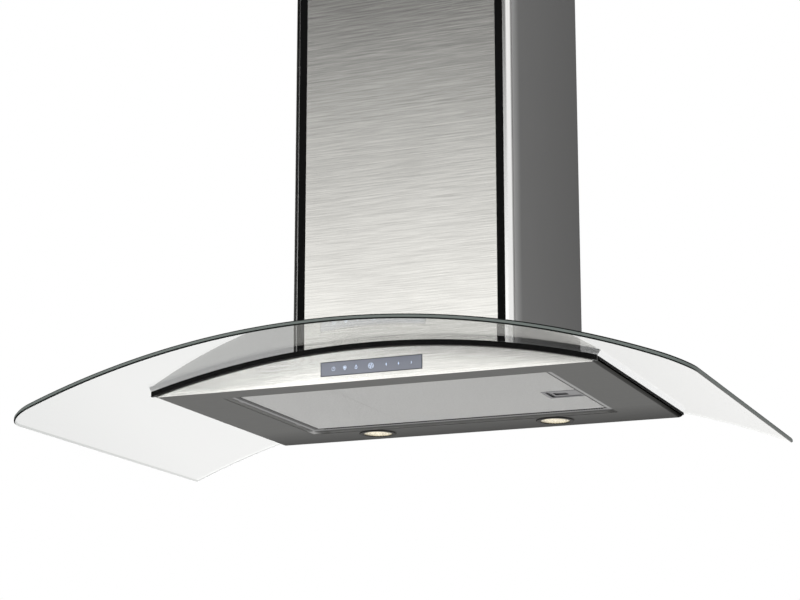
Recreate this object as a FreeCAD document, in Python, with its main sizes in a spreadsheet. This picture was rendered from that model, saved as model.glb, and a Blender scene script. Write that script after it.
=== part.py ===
"""Curved glass range hood: a wall hood with a bent glass canopy over a shallow steel body.

Millimetres. The wall is the plane y = 0, the front faces -Y and +Z is up. Each piece is built
with the flat underside of the body at z = 0 and is then lowered by wall_screw_height, so the
origin of the finished part is the centre of the four wall screws.
"""
import FreeCAD, Part
import math
import os
import re

import Sketcher

from FreeCAD import Rotation, Vector

# ---------------------------------------------------------------------------------------------
# Driving dimensions, in millimetres (counts and degrees where the name says so)
# ---------------------------------------------------------------------------------------------
SIZES = {
    # wall and clearances
    "wall_screw_height": 202.0,     # centre of the wall screws above the flat underside
    "wall_screw_span": 190.0,
    "wall_screw_rise": 240.0,
    "wall_screw_hole": 4.0,         # radius
    "touch_gap": 0.1,               # between faces that rest on each other
    "slide_gap": 0.6,               # between pieces that slide past each other
    "sheet": 1.0,                   # body and casing sheet steel
    # glass canopy
    "glass_width": 900.0,
    "glass_depth": 535.0,
    "glass_thickness": 6.0,
    "glass_bend": 1152.0,           # radius of its underside
    "glass_rise": 47.6,             # underside at the middle, above the flat underside
    "glass_corner": 38.0,
    "glass_wall_gap": 1.5,
    "notch_width": 256.0,
    "notch_depth": 258.0,
    "notch_corner": 12.0,
    "glass_hole": 4.5,              # radius
    "glass_screw_beside": 10.0,     # rear screws, beside the notch
    "glass_screw_side_y": 110.0,
    "glass_screw_front_x": 90.0,
    "glass_screw_before": 17.0,     # front screws, in front of the notch
    # body under the glass
    "body_width": 592.6,            # flat part of the underside
    "body_front": 410.2,            # front face of the panel from the wall
    "body_rear": 9.0,
    "rear_bend": 5.0,
    "side_bend": 8.0,
    "gasket_height": 3.5,
    "gasket_width": 13.0,
    "trim_height": 6.8,
    "trim_reach": 4.0,              # in front of the panel
    "trim_depth": 9.7,
    "panel_sheet": 1.2,
    "panel_flange": 10.0,
    "panel_flange_end": 8.0,        # lower flange short of each end
    "panel_tab_end": 30.0,          # upper flange short of each end
    "deck_sheet": 1.2,
    "deck_play": 1.0,               # to the tray at the rear
    "deck_side_play": 3.4,
    "air_width": 236.0,             # air opening in the deck
    "air_front": 246.0,
    "air_rear": 24.0,
    # touch control
    "control_width": 139.0,
    "control_height": 19.0,
    "control_x": 7.0,
    "control_base": 8.2,
    "control_thickness": 3.0,
    "control_proud": 0.3,
    "control_fit": 0.2,
    "board_thickness": 1.6,
    "board_side": 3.0,              # inside the window, at each end
    "board_foot": 1.5,
    "chip_width": 22.0,
    "chip_depth": 2.4,
    "chip_height": 9.0,
    "plug_width": 14.0,
    "plug_depth": 5.0,
    "plug_height": 7.0,
    "plug_offset": 28.0,            # left end of the plug from the window's right end
    # grease filter and its well
    "filter_width": 449.0,
    "filter_depth": 284.0,
    "filter_thickness": 9.0,
    "filter_recess": 4.5,           # bottom of the cassette above the underside
    "filter_x": 5.0,
    "filter_y": 225.5,
    "filter_gap": 1.3,              # all round, in the well
    "well_height": 15.0,
    "slot_play": 1.0,               # round the tabs and the tongue, in the well's walls
    "slot_lift": 0.3,
    "filter_border": 12.0,
    "mesh_thickness": 6.0,
    "mesh_bite": 3.0,               # mesh held in the groove of the frame
    "mesh_seam_x": 76.0,
    "mesh_seam": 0.4,
    "tab_width": 14.0,
    "tab_length": 4.5,
    "tab_thickness": 1.0,
    "tab_y": 90.0,                  # from the middle of the filter
    # filter latch
    "latch_y": 206.0,
    "latch_width": 43.0,            # along y
    "latch_length": 48.0,           # along x
    "latch_thickness": 1.8,
    "latch_tongue_width": 20.0,
    "latch_tongue_reach": 3.0,      # past the face of the cassette
    "latch_travel": 6.0,
    "latch_slot_width": 16.0,
    "latch_slot_length": 18.0,
    "latch_base_wall": 2.0,
    "latch_inset": 1.0,             # plate above the bottom of the cassette
    "latch_play": 0.2,              # over and under the plate
    "latch_side_play": 0.3,
    "latch_end_play": 0.6,
    "latch_lap": 3.0,               # tongue over the plate
    "spring_x": 4.0,                # left end of the spring's pocket, from the latch's left
    "spring_room": 14.0,
    "spring_offset": 9.0,           # beside the latch's middle line
    "spring_radius": 2.0,           # of the wire's middle line
    "spring_wire": 0.3,             # radius
    "spring_turns": 6,
    "spring_peg": 1.6,
    "spring_peg_x": 15.6,           # left face of the peg, from the latch's left
    # lamps
    "lamp_x": 132.7,
    "lamp_y": 55.0,
    "lamp_ring": 26.5,              # radius of the flange
    "lamp_hole": 24.8,              # radius in the tray
    "lamp_flange": 0.9,
    "lamp_glass": 21.5,
    "lamp_glass_thickness": 2.4,
    "lamp_depth": 20.0,
    "lamp_wall": 1.2,
    "lamp_fit": 0.3,                # neck of the ring in the tray's hole
    "lamp_neck": 7.0,               # height of the neck
    "lamp_lip": 1.0,                # lip of the ring under the lens
    "lamp_lip_height": 0.7,
    "lamp_chamfer": 0.5,
    "lamp_seat": 1.0,               # gap over the lens
    "lamp_bulge": 0.5,              # bulge of the lens
    "cup_shoulder": 9.0,            # height of the cup's straight part
    "cup_taper": 5.0,
    "cup_top": 9.0,                 # radius of the cup's top
    "bulb_radius": 4.2,
    "bulb_length": 11.0,
    "bulb_tip": 3.0,                # radius
    "driver_length": 96.0,
    "driver_width": 42.0,
    "driver_height": 22.0,
    "driver_rear": 10.0,            # behind the driver
    "ear_length": 10.0,
    "ear_width": 14.0,
    "ear_thickness": 1.6,
    # blower casing
    "casing_width": 250.0,
    "casing_depth": 248.0,
    "casing_top": 300.0,
    "deck_screw_x": 119.7,          # screws in the casing's foot
    "deck_screw_rear": 60.0,
    "deck_screw_front": 190.0,
    "plate_sheet": 2.0,
    "plate_width": 252.0,
    "plate_foot": 46.0,
    "plate_top": 344.0,
    "tab_reach": 16.0,              # screw tabs of the wall plate inside the casing
    "tab_height": 20.0,
    "tab_screw_y": 12.0,
    "tab_low_z": 90.0,
    "tab_high_z": 270.0,
    "foot_flange": 3.0,             # casing's foot inside the edge of the air opening
    "foot_play": 0.5,
    # fan
    "fan_y": 125.0,
    "fan_z": 155.0,
    "fan_radius": 72.0,
    "fan_inner": 60.0,
    "fan_half_width": 52.0,
    "fan_blades": 32,
    "blade_thickness": 1.2,
    "fan_ring": 2.5,
    "fan_disc": 2.0,
    "fan_hub_radius": 13.0,
    "fan_hub_length": 18.0,
    "blade_lead_angle": 7.0,
    "blade_root": 0.4,              # blade inside the rings' edges
    "scroll_clear": 10.0,           # tongue to fan
    "scroll_step": 10.0,            # growth of the scroll in each quarter turn
    "scroll_wall": 1.5,
    "scroll_half_width": 59.5,
    "scroll_inlet": 58.0,
    "scroll_top": 246.0,
    "tongue_angle": 125.0,
    "shaft": 4.0,                   # radius
    "shaft_run": 0.08,
    "shaft_fit": 0.05,
    "motor_radius": 40.0,
    "motor_length": 50.0,
    "motor_nose": 12.0,
    "motor_bell_step": 7.0,         # end bells inside the body's radius
    "motor_bell_length": 8.0,
    "motor_boss_radius": 11.0,
    "motor_boss_length": 5.0,
    "shaft_blind": 12.0,            # closed end of the bore
    "shaft_end_play": 2.0,
    "shaft_reach": 22.0,            # past the fan's middle
    "spider_ring_step": 10.0,
    "spider_hub_step": 14.0,
    "spider_sheet": 2.0,
    "spider_arm": 12.0,
    "spider_reach": 67.0,
    "spider_foot": 7.0,             # radius
    # outlet
    "duct_y": 150.0,
    "duct_radius": 74.5,
    "collar_wall": 1.2,
    "collar_height": 42.0,
    "collar_flange": 88.0,
    "collar_flange_sheet": 1.5,
    "collar_screw_circle": 83.0,
    "damper_height": 18.0,          # pin above the casing
    "damper_pin": 1.5,
    "damper_knuckle": 3.0,
    "damper_gap": 1.0,
    "damper_sheet": 1.0,
    "knuckle_length": 18.0,
    "knuckle_left_x": 46.0,         # left ends of the front flap's knuckles
    "knuckle_right_x": 14.0,
    "knuckle_shift": 20.0,          # between the two flaps' knuckles
    "knuckle_web": 1.3,
    "flap_play": 1.0,
    "pin_play": 0.06,
    "pin_fit": 0.02,
    "pin_short": 0.2,
    "seat_width": 3.0,
    "seat_height": 1.2,
    "seat_play": 0.1,
    # chimney covers
    "chimney_width": 313.0,
    "chimney_front": 299.4,
    "chimney_top": 640.0,
    "chimney_sheet": 1.0,
    "chimney_corner": 8.5,
    "face_width": 274.0,            # brushed front face
    "strip_recess": 0.8,
    "strip_back": 1.5,
    "strip_lap": 5.0,
    "corner_tail": 2.5,
    "seam_gap": 2.0,
    "rear_flange": 12.0,
    "side_joggle": 3.0,
    "upper_sheet": 0.8,
    "upper_drop": 2.0,              # below the top of the lower cover
    "upper_flange": 15.0,
    "bracket_height": 26.0,
    "bracket_sheet": 1.2,
    "bracket_ear": 30.0,
    "bracket_drop": 6.0,            # below the top of the upper cover
    "bracket_hole_span": 220.0,
    "bracket_hole": 3.2,
    # electrical boxes on the casing
    "terminal_depth": 80.0,
    "terminal_height": 76.0,
    "terminal_reach": 25.0,
    "terminal_foot": 180.0,
    "terminal_y": 80.0,
    "terminal_groove": 0.8,
    "terminal_wall": 13.0,          # over the hole under the gland
    "gland_radius": 8.0,
    "gland_bore": 4.0,
    "gland_height": 16.0,
    "capacitor_radius": 12.0,
    "capacitor_height": 66.0,
    "capacitor_foot": 130.0,
    "capacitor_y": 80.0,
    "stud_height": 7.0,
    "clip_sheet": 1.0,
    "clip_height": 12.0,
    "clip_stand": 0.5,              # from the clip's foot to the capacitor
    "clip_reach": 21.0,
    # fasteners
    "screw": 2.0,                   # radius of casing screws
    "screw_head": 4.0,
    "screw_head_height": 2.2,
    "screw_length": 5.0,
    "deck_screw_head": 3.5,
    "bracket_screw_head": 1.1,      # flat heads, in the gap between the covers
    "glass_screw": 2.5,
    "glass_screw_head": 5.0,
    "glass_screw_depth": 9.0,       # under the glass
    "screw_seat": 0.5,              # head and shank overlap
    "glass_washer": 8.0,
    "washer_thickness": 1.5,
}

doc = FreeCAD.newDocument("range_hood")
sheet = doc.addObject("Spreadsheet::Sheet", "Size")
for row, (alias, number) in enumerate(SIZES.items(), start=1):
    sheet.set("A%d" % row, alias)
    sheet.set("B%d" % row, str(number))
    sheet.setAlias("B%d" % row, alias)
doc.recompute()

WORD = re.compile(r"[a-z][a-z_]*")
NODES = []


def size(alias):
    """The number that a cell of the sheet holds."""
    return float(sheet.get(alias))


def bound(text):
    """An expression in which each driving dimension points at its cell of the sheet."""
    def point(found):
        return "Size." + found.group(0) if found.group(0) in SIZES else found.group(0)
    return WORD.sub(point, str(text))


# ---------------------------------------------------------------------------------------------
# Building blocks: primitives, booleans and padded profiles bound to the sheet
# ---------------------------------------------------------------------------------------------
def bind(item, **properties):
    """Bind properties of an object to expressions."""
    for name, text in properties.items():
        item.setExpression(name.replace("__", "."), bound(text))


def set_base(item, place):
    """Bind the base point of an object's placement."""
    for axis, text in zip("xyz", place):
        item.setExpression("Placement.Base." + axis, bound(text))


def box(name, sizes, place):
    """A block with the given length, width and height and its lowest corner at place."""
    item = doc.addObject("Part::Box", name)
    bind(item, Length=sizes[0], Width=sizes[1], Height=sizes[2])
    set_base(item, place)
    return item


AXIS_TURN = {
    "z": Rotation(Vector(0, 0, 1), 0),
    "x": Rotation(Vector(0, 1, 0), 90),
    "-y": Rotation(Vector(1, 0, 0), 90),
}


def rod(name, radius, length, place, axis="z"):
    """A cylinder that starts at place and runs along +Z, +X or -Y."""
    item = doc.addObject("Part::Cylinder", name)
    item.Placement.Rotation = AXIS_TURN[axis]
    bind(item, Radius=radius, Height=length)
    set_base(item, place)
    return item


def fuse(name, *items):
    """One solid out of several that touch."""
    joined = doc.addObject("Part::MultiFuse", name)
    joined.Shapes = list(items)
    joined.Refine = True
    return joined


def common(name, *items):
    """What several solids have in common."""
    shared = doc.addObject("Part::MultiCommon", name)
    shared.Shapes = list(items)
    return shared


def cut(name, base, *tools):
    """A solid with others taken away from it."""
    tool = tools[0] if len(tools) == 1 else fuse(name + "_tools", *tools)
    left = doc.addObject("Part::Cut", name)
    left.Base = base
    left.Tool = tool
    left.Refine = True
    return left


def mirrored(name, item):
    """The mirror image of an object in the plane x = 0."""
    other = doc.addObject("Part::Mirroring", name)
    other.Source = item
    other.Normal = Vector(1, 0, 0)
    return other


def profile(name, plane, start, depth, outline, holes=()):
    """A body padded from a sketch: an outline of corners, and round holes (x, y, radius).

    The sketch lies on an origin plane of its own body, moved by start along the plane's normal.
    """
    body = doc.addObject("PartDesign::Body", name)
    origin = [item for item in body.Origin.OriginFeatures if item.Role == plane][0]
    sketch = body.newObject("Sketcher::SketchObject", name + "_sketch")
    sketch.AttachmentSupport = (origin, [""])
    sketch.MapMode = "FlatFace"
    sketch.setExpression("AttachmentOffset.Base.z", bound(start))
    count = len(outline)
    turn = math.tau / count
    corners = [Vector(math.cos(k * turn), math.sin(k * turn), 0) for k in range(count)]
    for index in range(count):
        sketch.addGeometry(Part.LineSegment(corners[index], corners[(index + 1) % count]), False)
    for index in range(count):
        sketch.addConstraint(Sketcher.Constraint("Coincident", index, 2, (index + 1) % count, 1))
    for index, point in enumerate(outline):
        pin_point(sketch, index, 1, point)
    for along, across, radius in holes:
        index = sketch.addGeometry(Part.Circle(Vector(0, 0, 0), Vector(0, 0, 1), 1), False)
        pin_point(sketch, index, 3, (along, across))
        limit = sketch.addConstraint(Sketcher.Constraint("Radius", index, 1.0))
        sketch.setExpression("Constraints[%d]" % limit, bound(radius))
    pad = body.newObject("PartDesign::Pad", name + "_pad")
    pad.Profile = sketch
    bind(pad, Length=depth)
    doc.recompute()
    return body


def pin_point(sketch, index, end, point):
    """Hold a point of a sketch at two bound distances from the origin."""
    for kind, text in zip(("DistanceX", "DistanceY"), point):
        held = sketch.addConstraint(Sketcher.Constraint(kind, -1, 1, index, end, 1.0))
        sketch.setExpression("Constraints[%d]" % held, bound(text))


def rounded(body, radius, wanted):
    """Round the edges of a body for which wanted(edge, middle point) is true."""
    base = body.Tip
    names = ["Edge%d" % (index + 1) for index, edge in enumerate(base.Shape.Edges)
             if edge.Curve.TypeId == "Part::GeomLine" and wanted(edge, edge.CenterOfMass)]
    fillet = body.newObject("PartDesign::Fillet", body.Name + "_round")
    fillet.Base = (base, names)
    bind(fillet, Radius=radius)
    doc.recompute()
    return body


def upright(edge):
    """True for a straight edge along Z."""
    return abs(edge.Curve.Direction.z) > 0.99


def arch(name, offset):
    """A solid cylinder parallel to the glass, whose crown is offset above the glass's underside."""
    item = doc.addObject("Part::Cylinder", name)
    item.Placement.Rotation = AXIS_TURN["-y"]
    bind(item, Radius="glass_bend + (%s)" % offset, Height="glass_depth * 2")
    set_base(item, ("0", "glass_depth / 2", "glass_rise - glass_bend"))
    return item


def layer(name, low, high):
    """A bent layer parallel to the glass, between two offsets from its underside."""
    return cut(name, arch(name + "_high", high), arch(name + "_low", low))


def node(item, name=None):
    """Name a finished piece as a node of the hood and lower it to the frame of the part."""
    item.Label = name or item.Name
    item.setExpression("Placement.Base.z", bound("-wall_screw_height"))
    NODES.append(item)
    return item


def node_pair(name, right):
    """Two nodes: the right piece, lowered, and its mirror image, which follows it."""
    node(right, name + "_right")
    left = mirrored(name + "_left", right)
    NODES.append(left)


def made_solid(name, shape):
    """A piece whose shape is worked out in code from the sheet."""
    item = doc.addObject("Part::Feature", name)
    item.Shape = shape
    return item


# ---------------------------------------------------------------------------------------------
# Glass canopy and what seals it
# ---------------------------------------------------------------------------------------------
def radial_rod(side, at_x, at_y, radius, low, high):
    """A rod square to the bent glass at (at_x, at_y), between two offsets from its underside."""
    bend = size("glass_bend")
    lean = math.asin(at_x / bend)
    across = Vector(math.sin(lean) * side, 0, math.cos(lean))
    middle = Vector(0, -at_y, size("glass_rise") - bend)
    return Part.makeCylinder(radius, high - low, middle + across * (bend + low), across)


def glass_screw_places():
    """Side, distance from the middle and distance from the wall of each glass screw."""
    for side in (-1, 1):
        yield side, size("notch_width") / 2 + size("glass_screw_beside"), size("glass_screw_side_y")
        yield side, size("glass_screw_front_x"), size("notch_depth") + size("glass_screw_before")


def glass_rods(name, radius, low, high):
    """One rod at each glass screw, as one object."""
    rods = [radial_rod(side, at_x, at_y, radius, low, high)
            for side, at_x, at_y in glass_screw_places()]
    return made_solid(name, Part.makeCompound(rods))


def glass_canopy():
    """The bent sheet: round front corners, square back corners, a notch for the blower casing."""
    half = "glass_width / 2"
    notch = "notch_width / 2"
    front = "-glass_depth - glass_wall_gap"
    back = "-glass_wall_gap"
    plan = profile("glass_plan", "XY_Plane", "-glass_width / 4", "glass_width / 2", [
        ("-" + half, front), (half, front), (half, back), (notch, back),
        (notch, "-notch_depth"), ("-" + notch, "-notch_depth"), ("-" + notch, back), ("-" + half, back)])
    front_y = -size("glass_depth") - size("glass_wall_gap")
    rounded(plan, "glass_corner", lambda edge, middle: upright(edge) and abs(middle.y - front_y) < 0.01)
    notch_y = -size("notch_depth")
    rounded(plan, "notch_corner", lambda edge, middle: upright(edge) and abs(middle.y - notch_y) < 0.01)
    bent = common("glass_bent", layer("glass_layer", "0", "glass_thickness"), plan)
    holes = glass_rods("glass_holes", size("glass_hole"), -1.0, size("glass_thickness") + 1.0)
    node(cut("glass_canopy", bent, holes))


def front_trim():
    """Black arched profile between the steel front panel and the glass."""
    band = layer("trim_layer", "-trim_height", "-touch_gap")
    half = "(body_width / 2 + side_bend - 1)"
    block = box("trim_block", ("2 * " + half, "trim_depth", "2 * glass_rise"),
                ("-" + half, "-body_front - trim_reach", "-glass_rise / 2"))
    floor = box("trim_floor", ("2 * " + half + " + 2", "trim_depth + 2", "glass_rise"),
                ("-" + half + " - 1", "-body_front - trim_reach - 1", "touch_gap - glass_rise"))
    corners = [box("trim_corner_%d" % (side + 1), ("side_bend + 2", "trim_depth", "2 * glass_rise"),
                   ("body_width / 2 - 1" if side > 0 else "-body_width / 2 - side_bend - 1",
                    "-body_front + panel_sheet - touch_gap", "-glass_rise / 2")) for side in (-1, 1)]
    node(cut("front_trim", common("trim_band", band, block), floor, *corners))


def gaskets():
    """Rubber strips along the sides and the rear of the body's rim, under the glass."""
    rim = "(body_width / 2 + side_bend - 1)"
    front = "-body_front - trim_reach + trim_depth + touch_gap"
    plan = profile("gasket_plan", "XY_Plane", "-glass_rise", "3 * glass_rise", [
        (rim, front), (rim, "-body_rear - 1"), ("notch_width / 2 + gasket_width", "-body_rear - 1"),
        ("notch_width / 2 + gasket_width", "-body_rear - 1 - gasket_width"),
        (rim + " - gasket_width", "-body_rear - 1 - gasket_width"), (rim + " - gasket_width", front)])
    node_pair("gasket", common("gasket_right", layer("gasket_layer", "-gasket_height", "-touch_gap"), plan))


# ---------------------------------------------------------------------------------------------
# Body under the glass
# ---------------------------------------------------------------------------------------------
def tray_block(name, wall):
    """The outer block of the tray, or the space inside it when wall is its sheet."""
    half = "(body_width / 2 + side_bend - (%s))" % wall
    reach = "0" if wall == "0" else "5"
    front = "-body_front + panel_sheet - " + reach
    rear = "-body_rear - (%s)" % wall
    body = profile(name, "XY_Plane", wall, "glass_rise", [
        ("-" + half, front), (half, front), (half, rear), ("-" + half, rear)])
    low = 0.01 + (size("sheet") if wall != "0" else 0)
    rounded(body, "side_bend - (%s)" % wall,
            lambda edge, middle: middle.z < low and abs(edge.Curve.Direction.y) > 0.99)
    rear_y = body.Shape.BoundBox.YMax
    rounded(body, "rear_bend - (%s)" % wall,
            lambda edge, middle: middle.z < low and abs(middle.y - rear_y) < 0.01)
    return body


WELL_LEFT = "(filter_x - filter_width / 2 - filter_gap)"
WELL_FRONT = "(-filter_y - filter_depth / 2 - filter_gap)"
WELL_WIDTH = "(filter_width + 2 * filter_gap)"
WELL_DEPTH = "(filter_depth + 2 * filter_gap)"


def underside_tray():
    """Folded tray: flat underside, rounded sides and rear, a well for the filter, lamp holes."""
    outer = tray_block("tray_outer", "0")
    inner = tray_block("tray_inner", "sheet")
    arched = common("tray_arched", outer, arch("tray_arch", "-gasket_height - touch_gap"))
    shell = cut("tray_shell", arched, inner)
    well = box("well_outer", (WELL_WIDTH + " + 2 * sheet", WELL_DEPTH + " + 2 * sheet", "well_height"),
               (WELL_LEFT + " - sheet", WELL_FRONT + " - sheet", "0"))
    mouth = box("well_mouth", (WELL_WIDTH, WELL_DEPTH, "well_height * 3"),
                (WELL_LEFT, WELL_FRONT, "-well_height"))
    tools = [mouth]
    for side in (-1, 1):
        tools.append(rod("lamp_cut_%d" % (side + 1), "lamp_hole", "sheet * 4",
                         ("%d * lamp_x" % side, "-lamp_y", "-sheet")))
        tools.append(box("tab_slot_%d" % (side + 1),
                         ("sheet * 3", "tab_width + 2 * slot_play", "tab_length + 1.5 * slot_play"),
                         (WELL_LEFT + " - sheet * 2",
                          "-filter_y + %d * tab_y - tab_width / 2 - slot_play" % side,
                          "filter_recess - slot_lift")))
    tools.append(box("tongue_slot",
                     ("sheet * 3", "latch_tongue_width + 2 * slot_play", "latch_thickness + 4 * slot_lift"),
                     (WELL_LEFT + " + " + WELL_WIDTH + " - sheet",
                      "-latch_y - latch_tongue_width / 2 - slot_play", "filter_recess + 2 * slot_lift")))
    node(cut("underside_tray", fuse("tray_with_well", shell, well), *tools))


def deck_plate():
    """Bent plate that closes the top of the body and carries glass and blower casing."""
    half = "(body_width / 2 + side_bend - sheet - deck_side_play)"
    front = "-body_front - trim_reach + trim_depth + 2 * touch_gap"
    rear = "-body_rear - sheet - deck_play"
    plan = profile("deck_plan", "XY_Plane", "-glass_rise", "3 * glass_rise", [
        ("-" + half, front), (half, front), (half, rear), ("-" + half, rear)])
    air = box("deck_air", ("air_width", "air_front - air_rear", "glass_rise * 4"),
              ("-air_width / 2", "-air_front", "-glass_rise"))
    bent = common("deck_bent", layer("deck_layer", "-gasket_height - touch_gap - deck_sheet",
                                     "-gasket_height - touch_gap"), plan)
    under = -3 * size("gasket_height")
    holes = glass_rods("deck_holes", size("glass_screw") + 3 * size("touch_gap"), under, 0.0)
    foot_holes = made_solid("deck_foot_holes", Part.makeCompound(
        [radial_rod(side, at_x, at_y, size("screw") + size("touch_gap"), under, 0.0)
         for side, at_x, at_y in deck_screw_places()]))
    node(cut("deck_plate", bent, air, holes, foot_holes))


def front_panel():
    """Brushed plate: straight lower edge, arched upper edge, a window for the touch control."""
    half = "body_width / 2"
    plate = profile("panel_plate", "XZ_Plane", "body_front - panel_sheet", "panel_sheet", [
        ("-" + half, "0"), (half, "0"), (half, "glass_rise"), ("-" + half, "glass_rise")])
    window = box("panel_window", ("control_width", "panel_sheet * 4", "control_height"),
                 ("control_x - control_width / 2", "-body_front - panel_sheet", "control_base"))
    arched = common("panel_arched", plate, arch("panel_arch", "-trim_height - touch_gap"))
    lower = box("panel_lower_flange", ("body_width - 2 * panel_flange_end", "panel_flange", "panel_sheet"),
                ("-body_width / 2 + panel_flange_end", "-body_front + panel_sheet", "sheet + touch_gap"))
    upper_block = box("panel_upper_block", ("body_width - 2 * panel_tab_end", "panel_flange", "glass_rise * 2"),
                      ("-body_width / 2 + panel_tab_end", "-body_front + panel_sheet", "0"))
    upper = common("panel_upper_flange", layer("panel_layer", "-trim_height - touch_gap - panel_sheet",
                                               "-trim_height - touch_gap"), upper_block)
    node(fuse("front_panel", cut("panel_face", arched, window), lower, upper))


def touch_control():
    """Dark glass strip in the panel's window, with its circuit board behind."""
    face = profile("control_glass", "XZ_Plane", "body_front + control_proud - control_thickness",
                   "control_thickness", [
                       ("control_x - control_width / 2 + control_fit", "control_base + control_fit"),
                       ("control_x + control_width / 2 - control_fit", "control_base + control_fit"),
                       ("control_x + control_width / 2 - control_fit",
                        "control_base + control_height - control_fit"),
                       ("control_x - control_width / 2 + control_fit",
                        "control_base + control_height - control_fit")])
    node(face)
    behind = "-body_front - control_proud + control_thickness + touch_gap"
    board = box("touch_board_plate",
                ("control_width - 2 * board_side", "board_thickness", "control_height - 2 * board_foot"),
                ("control_x - control_width / 2 + board_side", behind, "control_base + board_foot"))
    back = behind + " + board_thickness"
    chip = box("touch_board_chip", ("chip_width", "chip_depth", "chip_height"),
               ("control_x - chip_width / 2", back, "control_base + (control_height - chip_height) / 2"))
    plug = box("touch_board_plug", ("plug_width", "plug_depth", "plug_height"),
               ("control_x + control_width / 2 - plug_offset", back,
                "control_base + (control_height - plug_height) / 2"))
    node(fuse("touch_board", board, chip, plug))


# ---------------------------------------------------------------------------------------------
# Lamps
# ---------------------------------------------------------------------------------------------
def turned(outline, at_x, at_y):
    """A ring or cup turned about a vertical axis, from (radius, height) corners."""
    points = [Vector(radius, 0, height) for radius, height in outline]
    face = Part.Face(Part.makePolygon(points + points[:1]))
    shape = face.revolve(Vector(0, 0, 0), Vector(0, 0, 1), 360)
    shape.translate(Vector(at_x, -at_y, 0))
    return shape


def lamp(side, word):
    """Spotlight: a flanged ring, a convex lens, a cup with the lamp holder and a capsule bulb."""
    at_x = side * size("lamp_x")
    at_y = size("lamp_y")
    gap = size("touch_gap")
    ring = size("lamp_ring")
    neck = size("lamp_hole") - size("lamp_fit")
    neck_top = size("lamp_neck")
    glass = size("lamp_glass")
    wall = size("lamp_wall")
    lip = size("lamp_lip")
    top = size("lamp_depth")
    low = -gap - size("lamp_flange")
    lip_top = low + size("lamp_lip_height")
    chamfer = size("lamp_chamfer")
    seat = size("lamp_glass_thickness") + size("lamp_seat")
    groove = glass + 2 * gap
    node(made_solid("lamp_ring_" + word, turned([
        (glass - lip, low), (ring - chamfer, low), (ring, low + chamfer), (ring, -gap), (neck, -gap),
        (neck, neck_top), (neck - wall, neck_top), (neck - wall, seat), (groove, seat),
        (groove, lip_top), (glass - lip, lip_top)], at_x, at_y)))
    base = lip_top + gap
    crown = base + size("lamp_glass_thickness")
    bulge = size("lamp_bulge")
    node(made_solid("lamp_lens_" + word, turned([
        (0.0, base - bulge), (glass * 0.55, base - bulge * 0.6), (glass - wall, base), (glass, base),
        (glass, crown), (0.0, crown)], at_x, at_y)))
    cup = neck - wall - gap
    rim = seat + gap
    shoulder = size("cup_shoulder")
    taper = size("cup_taper")
    lid = size("cup_top")
    node(made_solid("lamp_cup_" + word, turned([
        (cup, rim), (cup, shoulder), (cup - taper, top - wall), (lid, top), (0.0, top), (0.0, top - wall),
        (lid - wall / 3, top - wall), (cup - wall - taper, top - 2 * wall), (cup - wall, shoulder - wall / 3),
        (cup - wall, rim)], at_x, at_y)))
    bulb = size("bulb_radius")
    tip = size("bulb_tip")
    foot = top - size("bulb_length")
    socket = top - wall - gap
    node(made_solid("lamp_bulb_" + word, turned([
        (0.0, foot), (tip, foot + tip / 2), (bulb, foot + bulb + wall), (bulb, socket), (0.0, socket)],
        at_x, at_y)))


def lamp_driver():
    """Power supply of the lamps, on the floor of the tray behind the filter's well."""
    floor = "sheet + touch_gap"
    block = box("driver_block", ("driver_length", "driver_width", "driver_height"),
                ("-driver_length / 2", "-body_rear - sheet - driver_rear - driver_width", floor))
    ears = box("driver_ears", ("driver_length + 2 * ear_length", "ear_width", "ear_thickness"),
               ("-driver_length / 2 - ear_length",
                "-body_rear - sheet - driver_rear - driver_width / 2 - ear_width / 2", floor))
    node(fuse("lamp_driver", block, ears))


# ---------------------------------------------------------------------------------------------
# Grease filter: frame, mesh and latch
# ---------------------------------------------------------------------------------------------
FRAME_LEFT = "(filter_x - filter_width / 2)"
FRAME_FRONT = "(-filter_y - filter_depth / 2)"
LATCH_LEFT = "(filter_x + filter_width / 2 - filter_border - latch_length)"
LATCH_FRONT = "(-latch_y - latch_width / 2)"
WAY_LOW = "(filter_recess + latch_inset - latch_play)"
WAY_HEIGHT = "(latch_thickness + 2 * latch_play)"


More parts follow.
